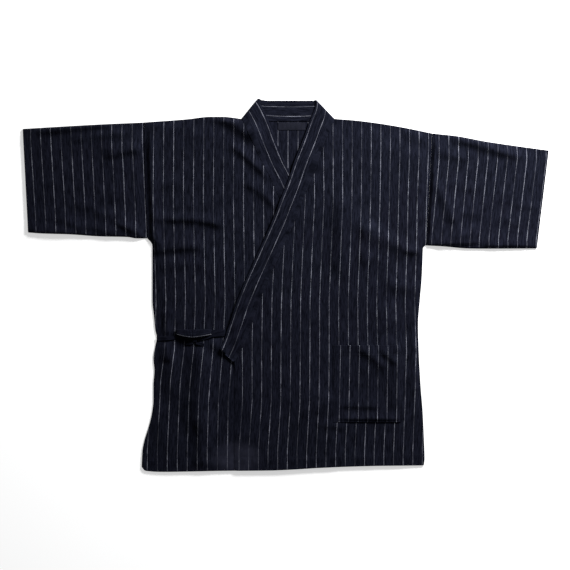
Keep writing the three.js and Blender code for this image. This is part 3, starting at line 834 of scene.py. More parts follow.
class NodeBench:
    """Adds and joins the nodes of one material."""

    def __init__(self, name: str) -> None:
        """Starts a material with no nodes but its output."""
        self.material = bpy.data.materials.new(name)
        self.material.use_nodes = True
        self.tree = self.material.node_tree
        self.tree.nodes.clear()
        self.output = self.tree.nodes.new("ShaderNodeOutputMaterial")
        self.add = partial(add_node, self.tree)

    def math(self, operation: str, *values: object) -> Socket:
        """Returns the result of a math node on values or sockets."""
        inputs = {f"in{i}": value for i, value in enumerate(values)}
        return self.add("ShaderNodeMath", {"operation": operation}, **inputs).outputs[0]

    def spot(self, x: object, y: object) -> Socket:
        """Returns a vector of two numbers or sockets."""
        return self.add("ShaderNodeCombineXYZ", None, in0=x, in1=y).outputs[0]

    def noise(self, vector: Socket, detail: float = 2.0) -> Socket:
        """Returns a noise value, about 0.5, at a place that is scaled already."""
        node = self.add("ShaderNodeTexNoise", {"noise_dimensions": "2D"}, Vector=vector, Scale=1.0,
                        Detail=detail, Roughness=0.55)
        return node.outputs["Fac"]

    def place(self) -> Socket:
        """Returns the place on the garment, in metres."""
        return self.add("ShaderNodeTexCoord").outputs["Object"]

    def uneven(self, scale: float) -> Socket:
        """Returns a noise of one scale on the garment, about 0.5."""
        return self.add("ShaderNodeTexNoise", None, Vector=self.place(), Scale=scale).outputs["Fac"]

    def cloth(self) -> list[Socket]:
        """Returns the place across and along the uncut cloth, in metres."""
        uv = self.add("ShaderNodeUVMap", {"uv_map": "cloth"}).outputs[0]
        return list(self.add("ShaderNodeSeparateXYZ", None, in0=uv).outputs)[:2]

    def grain(self, grain: Grain, across: object, along: object) -> Socket:
        """Returns a noise on the cloth, about 0.5."""
        return self.noise(self.spot(self.math("MULTIPLY", across, grain.across),
                                    self.math("MULTIPLY", along, grain.along)), grain.detail)

    def wave(self, value: object, length: float) -> Socket:
        """Returns a wave of one length, from -1 to 1."""
        return self.math("SINE", self.math("MULTIPLY", value, 2 * math.pi / length))

    def sum(self, *terms: tuple[object, float]) -> Socket:
        """Returns the sum of two values, each times its weight."""
        return self.math("ADD", *[self.math("MULTIPLY", value, weight) for value, weight in terms])

    def bump(self, height: object, strength: float, distance: float) -> Socket:
        """Returns the normal of a fine relief of one depth in metres."""
        return self.add("ShaderNodeBump", None, Strength=strength, Distance=distance,
                        Height=height).outputs[0]

    def finish(self, colour: object, roughness: float, specular: float, **inputs: object
               ) -> Material:
        """Ends the material in its shader.

        Args:
            colour: base colour.
            roughness: roughness of the surface.
            specular: strength of its gloss.
            inputs: the shader's other inputs, with _ for a space.

        Returns:
            The finished material.
        """
        shader = self.add("ShaderNodeBsdfPrincipled", None, Base_Color=colour, Roughness=roughness,
                          Specular_IOR_Level=specular, **inputs)
        self.tree.links.new(shader.outputs[0], self.output.inputs[0])
        return self.material

    def ease(self, value: object, low: object, high: object, first: object,
             second: object) -> Socket:
        """Returns value mapped smoothly from low..high to first..second."""
        node = self.add("ShaderNodeMapRange", {"interpolation_type": "SMOOTHSTEP"}, in0=value,
                        in1=low, in2=high, in3=first, in4=second)
        return node.outputs[0]

    def blend(self, share: object, first: object, second: object) -> Socket:
        """Returns the mix of two colours."""
        node = self.add("ShaderNodeMix", {"data_type": "RGBA"}, in0=share, in6=first, in7=second)
        return node.outputs[2]


@dataclass(frozen=True)
class StripedCotton:
    """Slubby navy cotton with broken off-white pinstripes, woven in along the cloth."""

    name: str = "striped_cotton"
    pitch: float = 0.022
    stripe_width: float = 0.00070
    stripe_core: float = 0.65
    wander: float = 0.0009
    thread: float = 0.0009
    ground_dark: Colour = (0.0016, 0.0020, 0.0048, 1)
    ground_light: Colour = (0.0105, 0.0118, 0.0215, 1)
    stripe: Colour = (0.190, 0.197, 0.240, 1)
    # Painted highlight: the lighter, greyer colour of one patch near the hem.
    highlight_colour: Colour = (0.030, 0.031, 0.050, 1)
    weakest: float = 0.22
    sway: Grain = Grain(7.31, 24.0)
    slubs: Grain = Grain(3.77, 60.0, 3.0)
    patches: Grain = Grain(5.13, 11.0, 2.5)
    breaks: Grain = Grain(1.93, 330.0)
    streaks: Grain = Grain(330.0, 40.0, 3.0)
    threads: Grain = Grain(1500.0, 130.0)
    slub_ramp: Ramp = (0.30, 0.72, 0.45, 1.45)
    patch_ends: Pair = (0.32, 0.66)
    break_ramp: Ramp = (0.30, 0.60, 0.72, 1.0)
    tone_ramp: Ramp = (0.30, 0.70, 0.0, 1.0)
    tone_weights: Pair = (0.62, 0.38)
    weave_weight: float = 0.25
    relief: Pair = (0.35, 0.00025)
    # Painted highlight near the hem: its place, reach, strength and falloff, in metres on the garment.
    highlight_at: Pair = (-0.1085, -0.376)
    highlight_reach: Pair = (0.050, 0.034)
    faded_gain: float = 0.65
    highlight_ramp: Ramp = (0.1, 1.6, 1.0, 0.0)
    cloud_scale: float = 45.0
    cloud_ramp: Ramp = (0.25, 0.7, 0.45, 1.0)
    roughness: float = 0.9
    specular: float = 0.03
    sheen: float = 0.008

    def build(self) -> Material:
        """Returns the material, which reads the piece's own map of the cloth, in metres."""
        bench = NodeBench(self.name)
        across, along = bench.cloth()
        number, line = self.line(bench, across, along)
        patchy = bench.grain(self.patches, number, along)
        strength = bench.ease(patchy, *self.patch_ends, self.weakest, 1.0)
        flecks = bench.ease(bench.grain(self.breaks, number, along), *self.break_ramp)
        amount = bench.math("MULTIPLY", bench.math("MULTIPLY", line, strength), flecks)
        streaks, threads = (bench.grain(grain, across, along) for grain in (self.streaks, self.threads))
        tone = bench.sum((streaks, self.tone_weights[0]), (threads, self.tone_weights[1]))
        ground = bench.blend(bench.ease(tone, *self.tone_ramp), self.ground_dark, self.ground_light)
        # Paints a highlight near the hem over the cloth's colour.
        colour = self.fade(bench, bench.blend(amount, ground, self.stripe))
        weave = bench.math("MULTIPLY", bench.wave(across, self.thread), bench.wave(along, self.thread))
        height = bench.math("ADD", bench.math("MULTIPLY", weave, self.weave_weight), threads)
        return bench.finish(colour, self.roughness, self.specular, Sheen_Weight=self.sheen,
                            Normal=bench.bump(height, *self.relief))

    def line(self, bench: NodeBench, across: Socket,
             along: Socket) -> tuple[Socket, Socket]:
        """Draws the pinstripes, which wander a little and swell at their slubs.

        Args:
            bench: the material's nodes.
            across: place across the cloth.
            along: place along it.

        Returns:
            The number of the nearest stripe, and how much of it shows at each place.
        """
        turns = bench.math("DIVIDE", across, self.pitch)
        number = bench.math("ROUND", turns)
        offset = bench.math("MULTIPLY", bench.math("SUBTRACT", turns, number), self.pitch)
        drift = bench.math("SUBTRACT", bench.grain(self.sway, number, along), 0.5)
        distance = bench.math("ABSOLUTE", bench.sum((offset, 1.0), (drift, self.wander)))
        slub = bench.grain(self.slubs, number, along)
        width = bench.math("MULTIPLY", bench.ease(slub, *self.slub_ramp), self.stripe_width)
        core = bench.math("MULTIPLY", width, self.stripe_core)
        return number, bench.ease(distance, core, width, 1.0, 0.0)

    def fade(self, bench: NodeBench, colour: Socket) -> Socket:
        """Paints a highlight: lightens the cloth around one place near the hem.

        Args:
            bench: the material's nodes.
            colour: the colour of the cloth.

        Returns:
            The colour, lighter and greyer at the painted highlight.
        """
        place = bench.place()
        split = bench.add("ShaderNodeSeparateXYZ", None, in0=place)
        offs = [bench.math("DIVIDE", bench.math("SUBTRACT", split.outputs[i], self.highlight_at[i]),
                           self.highlight_reach[i]) for i in (0, 1)]
        far = bench.math("ADD", *[bench.math("MULTIPLY", off, off) for off in offs])
        cloudy = bench.noise(bench.add("ShaderNodeVectorMath", {"operation": "SCALE"}, in0=place,
                                       Scale=self.cloud_scale).outputs[0])
        # Painted highlight mask: a soft oval round one place, broken up by noise.
        highlight_share = bench.math("MULTIPLY", bench.ease(far, *self.highlight_ramp),
                          bench.ease(cloudy, *self.cloud_ramp))
        return bench.blend(bench.math("MULTIPLY", highlight_share, self.faded_gain), colour, self.highlight_colour)


@dataclass(frozen=True)
class PlainWeave:
    """Plain navy label: a fine rib across its own length."""

    name: str
    dark: Colour
    light: Colour
    rib: float = 0.0011
    fuzz: Grain = Grain(900.0, 900.0, 3.0)
    cloud: Grain = Grain(110.0, 60.0)
    weights: Triple = (0.12, 0.4, 0.6)
    tone_ramp: Ramp = (0.28, 0.72, 0.0, 1.0)
    rib_weight: float = 0.4
    relief: Pair = (0.4, 0.0002)
    roughness: float = 0.8
    specular: float = 0.1
    sheen: float = 0.03

    def build(self) -> Material:
        """Returns the material, which reads the piece's own map of the cloth, in metres."""
        bench = NodeBench(self.name)
        across, along = bench.cloth()
        ribs = bench.wave(along, self.rib)
        fuzz, cloud = (bench.grain(grain, across, along) for grain in (self.fuzz, self.cloud))
        wool = bench.sum((fuzz, self.weights[1]), (cloud, self.weights[2]))
        tone = bench.sum((ribs, self.weights[0]), (wool, 1.0))
        colour = bench.blend(bench.ease(tone, *self.tone_ramp), self.dark, self.light)
        height = bench.sum((ribs, self.rib_weight), (fuzz, 1.0))
        return bench.finish(colour, self.roughness, self.specular, Sheen_Weight=self.sheen,
                            Normal=bench.bump(height, *self.relief))


@dataclass(frozen=True)
class SewingThread:
    """Navy sewing thread, close to the colour of the cloth."""

    name: str = "sewing_thread"
    dark: Colour = (0.0050, 0.0060, 0.0115, 1)
    light: Colour = (0.0190, 0.0210, 0.0340, 1)
    scale: float = 260.0
    tone_ramp: Ramp = (0.35, 0.65, 0.0, 1.0)
    roughness: float = 0.75
    specular: float = 0.08

    def build(self) -> Material:
        """Returns a matt navy material that varies from stitch to stitch."""
        bench = NodeBench(self.name)
        uneven = bench.ease(bench.uneven(self.scale), *self.tone_ramp)
        colour = bench.blend(uneven, self.dark, self.light)
        return bench.finish(colour, self.roughness, self.specular)


@dataclass(frozen=True)
class FloorPaint:
    """Plain pale floor."""

    name: str = "floor_paint"
    dark: Colour = (0.90, 0.90, 0.90, 1)
    light: Colour = (0.93, 0.93, 0.93, 1)
    scale: float = 3.0
    glow: float = 0.55
    roughness: float = 0.9
    specular: float = 0.1

    def build(self) -> Material:
        """Returns a matt near-white material with a trace of unevenness."""
        bench = NodeBench(self.name)
        colour = bench.blend(bench.uneven(self.scale), self.dark, self.light)
        return bench.finish(colour, self.roughness, self.specular,
                            Emission_Color=(1, 1, 1, 1), Emission_Strength=self.glow)


class Wardrobe:
    """Declares finished pieces to the frame and logs them."""

    def __init__(self) -> None:
        """Starts with no pieces."""
        self.pieces: list[Piece] = []

    def keep(self, piece: Piece, node: str | None = None) -> Piece:
        """Makes a piece ride with the garment.

        Args:
            piece: the finished piece.
            node: the solid that it stands for, or None.

        Returns:
            The same piece.
        """
        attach(piece, BODY_NAME)
        if node:
            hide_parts(node)
        self.pieces.append(piece)
        log.info("%s: %d faces", piece.name, len(piece.data.polygons))
        return piece

    def sheet(self, piece: Piece, flat: Pair, area: float) -> None:
        """Logs a piece's cut as laid cloth, in metres and square metres."""
        log.info("%s: cut %.3f by %.3f m, %.4f square metres", piece.name, *flat, area)


def plan_area(places: Array) -> float:
    """Returns the area of a grid of places, in square metres."""
    a = places[1:, 1:] - places[:-1, :-1]
    b = places[1:, :-1] - places[:-1, 1:]
    return float(np.abs(a[..., 0] * b[..., 1] - a[..., 1] * b[..., 0]).sum()) / 2 * METRE**2


def plan_span(places: Array) -> Pair:
    """Returns the width and length of a grid of places, in metres."""
    low, high = places.reshape(-1, 2).min(axis=0), places.reshape(-1, 2).max(axis=0)
    return float(high[0] - low[0]) * METRE, float(high[1] - low[1]) * METRE


@dataclass
class BodyPanels:
    """The back and the two fronts."""

    garment: Garment
    step: float = 3.6
    back_step: float = 7.2
    front_width: float = 430.0
    back_length: float = 780.0
    fold_radius: float = 1.8
    sewn_from: float = -0.6
    seam_dips: Pair = (1.2, 6.0)
    armpit_steps: Numbers = (0, 6, 16)
    free_reach: float = 8.0
    free_below: float = 20.0
    free_gap: float = 0.2
    free_edge: float = 0.6
    thinnest: float = 0.1
    edge_steps: Numbers = (0.25, 0.7, 1.4, 2.4)
    lays: tuple[StripeLay, StripeLay] = (
        StripeLay((330, 187.6, -32.5, -142.5, -208, -252.5, -362.5),
                  (-180, -181, -176.6, -181, -187.6, -190.7, -194.2),
                  (22.0, 22.0, 21.7, 21.2, 21.8, 21.5, 22.0)),
        StripeLay((297.6, 187.6, 77.6, -32.5, -142.5, -252.5, -362.5),
                  (124.9, 124.9, 120.5, 116.1, 116.7, 115.2, 109.5),
                  (21.0, 20.5, 20.8, 20.9, 21.2, 21.0, 21.2)),
    )
    back_lay: StripeLay = StripeLay((0,), (-83.0,), (22.0,))

    def front_grid(self, side: Side) -> Array:
        """Plan of one front.

        Args:
            side: which front.

        Returns:
            Grid of places, with rising x along rows and rising y along columns.
        """
        g = self.garment
        hem, armhole, foot = g.hem(), g.armhole(side), side.of(g.hem_feet)
        free = side.of((g.under_edge, g.front_edge))
        low_y = float(hem.at(free))
        sides = [upright_edge(low_y, g.neck, lambda y: g.front_x(side, y) + side.outward * g.edge_inset),
                 upright_edge(foot, armhole.top, partial(g.side_x, side))]
        corners = [(free, float(g.side_x(side, foot))), (side.of(g.neck_points), armhole.x_top)]
        if side is Side.RIGHT:
            sides, corners = sides[::-1], [ends[::-1] for ends in corners]
        span = g.neck - low_y
        breaks = [(y - low_y) / span for y in (
            *[low_y + g.hem_depth + extra for extra in g.hem_breaks], g.collar_end,
            *[armhole.bottom - step for step in self.armpit_steps])]
        along = spread(span, self.step, self.edge_steps, breaks)
        across = spread(self.front_width, self.step, self.edge_steps)
        return patch(*sides, level_edge(*corners[0], hem.at),
                     level_edge(*corners[1], g.shoulder(side).at), across, along)

    def pressed_edge(self, side: Side, places: Array) -> Array:
        """Returns how full the cloth is near the shoulder and side, from 0 at the very edge."""
        x, y = places[..., 0], places[..., 1]
        down = self.garment.shoulder(side).at(x) - y
        inward = np.abs(self.garment.side_x(side, y) - x)
        turned = rounded(inward, self.fold_radius)
        sewn = np.minimum(smooth(inward, self.sewn_from, side.of(self.seam_dips)), turned)
        at_side = np.where(y > self.garment.armhole(side).bottom, sewn, turned)
        return np.minimum(rounded(down, self.fold_radius), at_side)

    def front(self, side: Side, cotton: Material) -> tuple[Piece, Array]:
        """Builds one front.

        Args:
            side: which front.
            cotton: its finish.

        Returns:
            The piece and its plan.
        """
        g = self.garment
        places = self.front_grid(side)
        x, y = places[..., 0], places[..., 1]
        under = g.over_front(x, y) if side is Side.LEFT else g.under_front(x, y)
        over = under + g.thickness(x, y)
        if side is Side.LEFT:
            free = 1 - smooth(x - g.front_edge, 0, self.free_reach)
            free = free * smooth(g.collar_end - y, 0, self.free_below)
            under = mix(under, g.under_front_top(x, y) + self.free_gap, free)
            over = mix(under + g.thickness(x, y), under + self.free_edge, free)
        full = self.pressed_edge(side, places)
        over = mix(np.minimum(over, under + self.thinnest), over, full)
        under = np.where(full < 1, mix(np.minimum(under, g.meeting), under, full), under)
        cloth_map = side.of(self.lays).places_of(x, y)
        return shell(f"cloth_front_{side.value}", places, under, over, cloth_map, cotton), places

    def back_grid(self) -> Array:
        """Returns the plan of the back."""
        g = self.garment
        sides = [upright_edge(side.of(g.hem_feet), g.armhole(side).top, partial(g.side_x, side))
                 for side in Side]
        left, right = (float(g.side_x(side, side.of(g.hem_feet))) for side in Side)
        tops = [g.armhole(side).x_top for side in Side]
        width = right - left
        neck = [(x - tops[0]) / width for x in g.neck_points]
        across = spread(width, self.back_step, self.edge_steps, neck)
        along = spread(self.back_length, self.back_step, self.edge_steps)
        return patch(*sides, level_edge(left, right, g.hem().at), level_edge(*tops, g.back_top),
                     across, along)

    def back(self, cotton: Material) -> tuple[Piece, Array]:
        """Builds the back, flat on the floor.

        Args:
            cotton: its finish.

        Returns:
            The piece and its plan.
        """
        g = self.garment
        places = self.back_grid()
        x, y = places[..., 0], places[..., 1]
        full = np.minimum(*(self.pressed_edge(side, places) for side in Side))
        over = np.maximum(g.cloth, mix(g.meeting, g.cloth, full))
        under = mix(g.meeting - self.thinnest, 0.0, full)
        cloth_map = self.back_lay.places_of(x, y)
        return shell("cloth_back", places, under, over, cloth_map, cotton), places

    def build(self, wardrobe: Wardrobe, cotton: Material) -> None:
        """Args:
            wardrobe: where they are declared.
            cotton: their finish.
        """
        back, places = self.back(cotton)
        wardrobe.keep(back, "back")
        wardrobe.sheet(back, plan_span(places), plan_area(places))
        for side, under in zip(Side, ("cloth_back", "cloth_front_right")):
            front, places = self.front(side, cotton)
            wardrobe.keep(front, f"front_{side.value}")
            wardrobe.sheet(front, plan_span(places), plan_area(places))


@dataclass
class Sleeves:
    """The two sleeves, flat tubes with a folded top edge and an underarm seam."""

    garment: Garment
    rise: float = 3.1
    cuff_rise: float = 1.4
    cuff_hem: float = 20.0
    cuff_reach: float = 60.0
    roots: tuple[Pair, Pair] = ((-304.9, -312.3), (308.0, 322.2))
    cuffs: tuple[Pair, Pair] = ((-566.0, -578.0), (551.7, 578.0))
    bites: Pair = (22.0, 8.0)
    swells: Pair = (0.0, 2.0)
    swell_width: float = 0.8
    edge_reach: Pair = (2.2, 30.0)
    relief_reach: Pair = (2.5, 4.0)
    cuff_relief: Pair = (0.4, 14.0)
    seam_dips: Pair = (1.3, 0.7)
    dip_reach: float = 6.5
    step: float = 3.6
    edge_steps: Numbers = (0.2, 0.6, 1.2, 2.0, 3.2)
    root_steps: Numbers = (1.0, 2.2, 4.0, 6.5)
    lays: tuple[StripeLay, StripeLay] = (
        StripeLay((319.6, 121.6), (-448.9, -438.1), (22.3, 21.9)),
        StripeLay((275.6, 99.6), (443.8, 424.7), (21.4, 20.9)),
    )

    def under_seam(self, side: Side) -> Curve:
        """Returns the underarm edge, as heights by place across."""
        if side is Side.RIGHT:
            return curve((-566, 117), (-540, 115), (-474, 112.8), (-408, 108.4), (-348, 107),
                         (-328, 104), (-304.9, 104))
        return curve((308, 88.6), (347, 86.4), (400, 82), (439, 81.5), (551.7, 82))

    def top_fold(self, side: Side) -> Curve:
        """Returns the folded top edge, as heights by place across."""
        if side is Side.RIGHT:
            return curve((-578, 344.9), (-487, 350.4), (-408, 354.8), (-312.3, 359))
        return curve((322.2, 335), (373.5, 329.5), (439.5, 317.4), (505.5, 307.5), (578, 297.5))

    def build(self, wardrobe: Wardrobe, cotton: Material) -> None:
        """Builds and declares both sleeves.

        Args:
            wardrobe: where they are declared.
            cotton: their finish.
        """
        for side in Side:
            piece, length, width = self.sleeve(side, cotton)
            wardrobe.keep(piece, f"sleeve_{side.value}")
            flat = (length * METRE, 2 * width * METRE)
            wardrobe.sheet(piece, flat, flat[0] * flat[1] * STRIP_FILL)

    def sleeve(self, side: Side, cotton: Material) -> tuple[Piece, float, float]:
        """Builds one sleeve.

        Args:
            side: which sleeve.
            cotton: its finish.

        Returns:
            The piece, its length and its width laid flat, in millimetres.
        """
        g = self.garment
        under, top = self.under_seam(side), self.top_fold(side)
        roots, cuffs = side.of(self.roots), side.of(self.cuffs)
        low_y, high_y = float(under.at(roots[0])), float(top.at(roots[1]))
        length, width = abs(cuffs[1] - roots[1]), high_y - low_y
        seam = level_edge(roots[0], cuffs[0], under.at)
        fold = level_edge(roots[1], cuffs[1], top.at)
        armhole = upright_edge(low_y, high_y,
                               lambda y: g.armhole(side).x_at(y) + side.outward * g.seam_gap)
        edges = seam, fold, armhole, straight_edge(seam(1.0), fold(1.0))
        hems = [1 - (self.cuff_hem + extra) / length for extra in g.hem_breaks]
        near_root = [step / length for step in (*self.root_steps, side.of(self.bites))]
        along = spread(length, self.step, breaks=[*hems, *near_root, 1 - 1 / length])
        shares = spread(width, self.step, self.edge_steps)
        full = rounded(np.minimum(shares, 1 - shares) * width, g.pressed)
        full = np.concatenate([full, full[::-1][1:-1]])[None, :]
        middle = (g.pressed + g.cloth) / 2

        def face(inset: float) -> Array:
            """Rings of the tube's outer or inner face.

            Args:
                inset: how far the face lies inside the outer one.

            Returns:
                The rings, from the armhole to the cuff.
            """
            margin = inset / width
            c = margin + (1 - 2 * margin) * shares
            c = np.concatenate([c, c[::-1][1:-1]])
            places = patch(*edges, c, along)
            over = self.height(side, places, c[None, :], along[:, None], length, width)
            if not inset:
                dip = 1 - smooth(along[:, None] * length, 0, self.dip_reach)
                over = over - side.of(self.seam_dips) * dip
            is_top = np.arange(len(c))[None, :] >= len(shares)
            z = np.where(is_top, mix(middle, over - inset, full), mix(middle, inset, full))
            return np.dstack([places, z])

        outer, inner = face(0.0), face(g.cloth)
        cloth_map = side.of(self.lays).places_of(outer[..., 0], outer[..., 1])
        piece = tube(f"cloth_sleeve_{side.value}", outer, cloth_map, cotton, lining=inner)
        return piece, length, width

    def height(self, side: Side, places: Array, c: Array, t: Array, length: float,
               width: float) -> Array:
        """Height of the upper wall's outer face.

        Args:
            side: which sleeve.
            places: grid of places in plan.
            c: shares across, from the underarm seam to the top fold.
            t: shares along, from the armhole to the cuff.
            length: length of the sleeve.
            width: width of the sleeve laid flat.

        Returns:
            The heights.
        """
        g, bite = self.garment, side.of(self.bites)
        x, y = places[..., 0], places[..., 1]
        from_root, from_cuff = t * length, (1 - t) * length
        from_seam, from_fold = c * width, (1 - c) * width
        edge = smooth(from_seam, 1, self.edge_reach[0]) * smooth(from_fold, 1, self.edge_reach[1])
        root = smooth(from_root, 0, bite)
        end = mix(self.cuff_rise / self.rise, 1.0, smooth(from_cuff, 0, self.cuff_reach))
        crest = np.exp(-((from_root - bite) / (self.swell_width * bite)) ** 2)
        swell = side.of(self.swells) * crest * root
        lift = (mix(side.of(g.armhole_rise), self.rise * end, root) + swell) * edge
        near = smooth(from_seam, 0, self.relief_reach[0]) * smooth(from_fold, 0, self.relief_reach[1])
        near = near * root * mix(self.cuff_relief[0], 1.0, smooth(from_cuff, 0, self.cuff_relief[1]))
        relief = (folded(SLEEVE_FOLDS[side], x, y) + folded(SLEEVE_WRINKLES, x, y)) * near
        hem = g.turned_hem(from_cuff, self.cuff_hem)
        return g.pressed + g.cloth + hem + np.maximum(lift + relief, 0)


@dataclass(frozen=True)
class BandStation:
    """One cross-section of the collar band, from its sewn edge to its folded edge."""

    sewn: Pair
    fold: Pair
    height: float
    stripe: float
    angle: float = 0.0
    outward: Pair = (0.0, 0.0)
    follows: float = 0.0
    pitch: float = 21.0


@dataclass(frozen=True)
class Crease:
    """Where the band turns over at one side of the neck, and how its corner peaks there."""

    sewn: Pair
    fold: Pair
    spread_to: float
    outward: Pair
    peak_at: float
    peak_rise: float


@dataclass
class CollarBand:
    """The collar: one double band up the right front, round the neck and down the left front."""

    garment: Garment
    width: float = 46.0
    skew: float = 18.5
    end_skew: float = 28.6
    neck_skew: float = 41.3
    neck_from: float = 270.0
    end_reach: float = 90.0
    follow_reach: float = 30.0
    turns: Pair = (3.1, 2.3)
    turn_start: float = 0.4
    turn_steps: int = 12
    creases: tuple[Crease, Crease] = (
        Crease((-94.8, 366.4), (-62.4, 407.2), -51.6, (-0.74, 0.67), -55.5, 2.9),
        Crease((104.2, 366.3), (67.0, 406.2), 59.5, (0.7, 0.71), 63.0, 0.9),
    )
    peak_width: float = 6.5
    back_steps: int = 40
    back_seam: Pair = (-78.0, 78.0)
    back_fold: Pair = (-51.0, 58.0)
    seam_y: float = 361.1
    back_top: float = 407.1
    edge_radius: float = 1.6
    edge_steps: Numbers = (0.2, 0.6, 1.1, 1.8)
    crown: float = 0.4
    step: float = 4.0
    ring_step: float = 5.0
    ring_points: int = 40
    front_stripe: float = 6.0
    back_stripe: float = 13.9
    last_stripe: float = 1.5
    woven_pitch: float = 22.0
    neck_pitch: float = 24.4

    def stations(self, side: Side) -> list[BandStation]:
        """Cross-sections along one front.

        Args:
            side: which front.

        Returns:
            The cross-sections, from the neck down.
        """
        g = self.garment
        line = g.band(side)
        result = []
        for y in np.linspace(g.neck, g.collar_end, int((g.neck - g.collar_end) / self.step)):
            near_neck = float(smooth(y, self.neck_from, g.neck))
            near_end = float(smooth(g.collar_end + self.end_reach - y, 0, self.end_reach))
            rise = mix(mix(self.skew, self.end_skew, near_end), self.neck_skew, near_neck)
            sewn = (float(line.sewn.at(y)) - side.outward * g.edge_inset, float(y))
            fold = (float(line.folded.at(y + rise)), float(y + rise))
            follows = 1.0 if side is Side.LEFT else float(g.above_lap(y))
            follows *= float(smooth(g.neck - y, 0, self.follow_reach))
            result.append(BandStation(sewn, fold, float(line.height.at(y)), self.front_stripe,
                                      follows=follows,
                                      pitch=mix(BandStation.pitch, self.neck_pitch, near_neck)))
        return result

    def crease(self, side: Side) -> list[BandStation]:
        """Returns the cross-sections of the half turn over one crease, from front to back."""
        at = side.of(self.creases)
        turns, stripes, pitches, xs = (np.linspace(*ends, self.turn_steps) for ends in (
            (self.turn_start, math.pi), (self.front_stripe, self.back_stripe),
            (self.neck_pitch, BandStation.pitch), (at.fold[0], at.spread_to)))
        tops = at.fold[1] + at.peak_rise * np.sin(turns)
        return [BandStation(at.sewn, (float(x), float(top)), 0.0, float(stripe), float(turn),
                            at.outward, pitch=float(pitch))
                for x, top, stripe, turn, pitch in zip(xs, tops, stripes, turns, pitches)]

    def ring(self, station: BandStation) -> tuple[Array, Array]:
        """Points round the band at one cross-section.

        Args:
            station: the cross-section.

        Returns:
            The points, and their distances from the folded edge.
        """
        g = self.garment
        angle, outward = station.angle, station.outward
        sewn_at, fold_at = np.array(station.sewn), np.array(station.fold)
        width = float(np.linalg.norm(fold_at - sewn_at))
        p = spread(width, self.ring_step, self.edge_steps)
        from_edge = np.minimum(p, 1 - p) * width
        half = g.band_cloth / 2
        full = rounded(from_edge, self.edge_radius)
        crown = self.crown * max(0.0, math.cos(angle)) * np.sin(math.pi * p)
        middle = g.seam_gap + half
        far, close = middle + half * full + crown * full, middle - half * full
        rest = mix(self.turns[0], self.turns[1], p)
        turned = (angle - self.turn_start) / (math.pi - self.turn_start)
        centre = mix(self.turns[1], rest, turned) if angle else station.height - g.seam_gap + 0 * p
        plan = sewn_at[None, :] + (fold_at - sewn_at)[None, :] * p[:, None]

        def face(radius: Array, kept: slice) -> Array:
            """Returns the places of one face, a radius off the band's turning line."""
            shift, spots = (radius * math.sin(angle))[kept], plan[kept]
            return np.stack([spots[:, 0] + outward[0] * shift, spots[:, 1] + outward[1] * shift,
                             (centre + radius * math.cos(angle))[kept]], axis=1)

        back = slice(-2, 0, -1)
        points = np.concatenate([face(far, slice(None)), face(close, back)])
        if station.follows:
            points[:, 2] += station.follows * np.maximum(g.relief(points[:, 0], points[:, 1]), 0)
        distance = np.concatenate([(1 - p) * width, ((1 - p) * width)[back]])
        return points, distance

    def resampled(self, stations: list[BandStation]) -> tuple[Array, Array]:
        """Rings of one size through all the cross-sections.

        Args:
            stations: the cross-sections, in order.

        Returns:
            The rings, and each point's place on the cloth.
        """
        rings, maps, along = [], [], 0.0
        for station in stations:
            points, distance = self.ring(station)
            closed = np.concatenate([points, points[:1]])
            across = np.concatenate([distance, distance[:1]])
            index = np.linspace(0, len(points), self.ring_points, endpoint=False)
            number = np.arange(len(closed))
            ring = np.stack([np.interp(index, number, closed[:, k]) for k in range(3)], axis=1)
            if rings:
                along += float(np.linalg.norm(ring.mean(axis=0) - rings[-1].mean(axis=0)))
            stripes = np.interp(index, number, across) - station.stripe
            stripes = np.minimum(stripes / station.pitch, self.last_stripe) * self.woven_pitch
            rings.append(ring)
            maps.append(np.stack([stripes, np.full(self.ring_points, along)], axis=1))
        return np.array(rings), np.array(maps)

    def build(self, wardrobe: Wardrobe, cotton: Material) -> None:
        """Args:
            wardrobe: where it is declared.
            cotton: its finish.
        """
        back = []
        for share in np.linspace(0, 1, self.back_steps):
            sewn, x = (mix(*self.back_seam, share), self.seam_y), mix(*self.back_fold, share)
            peaks = sum(at.peak_rise * math.exp(-((x - at.peak_at) / self.peak_width) ** 2)
                        for at in self.creases)
            back.append(BandStation(sewn, (x, self.back_top + peaks), 0.0, self.back_stripe, math.pi))
        stations = [*self.stations(Side.RIGHT)[::-1], *self.crease(Side.RIGHT), *back,
                    *self.crease(Side.LEFT)[::-1], *self.stations(Side.LEFT)]
        rings, maps = self.resampled(stations)
        piece = tube("cloth_collar", rings, maps, cotton)
        wardrobe.keep(piece, "collar")
        flat = (self.width * METRE, float(maps[-1, 0, 1]) * METRE)
        wardrobe.sheet(piece, flat, flat[0] * flat[1] * STRIP_FILL)


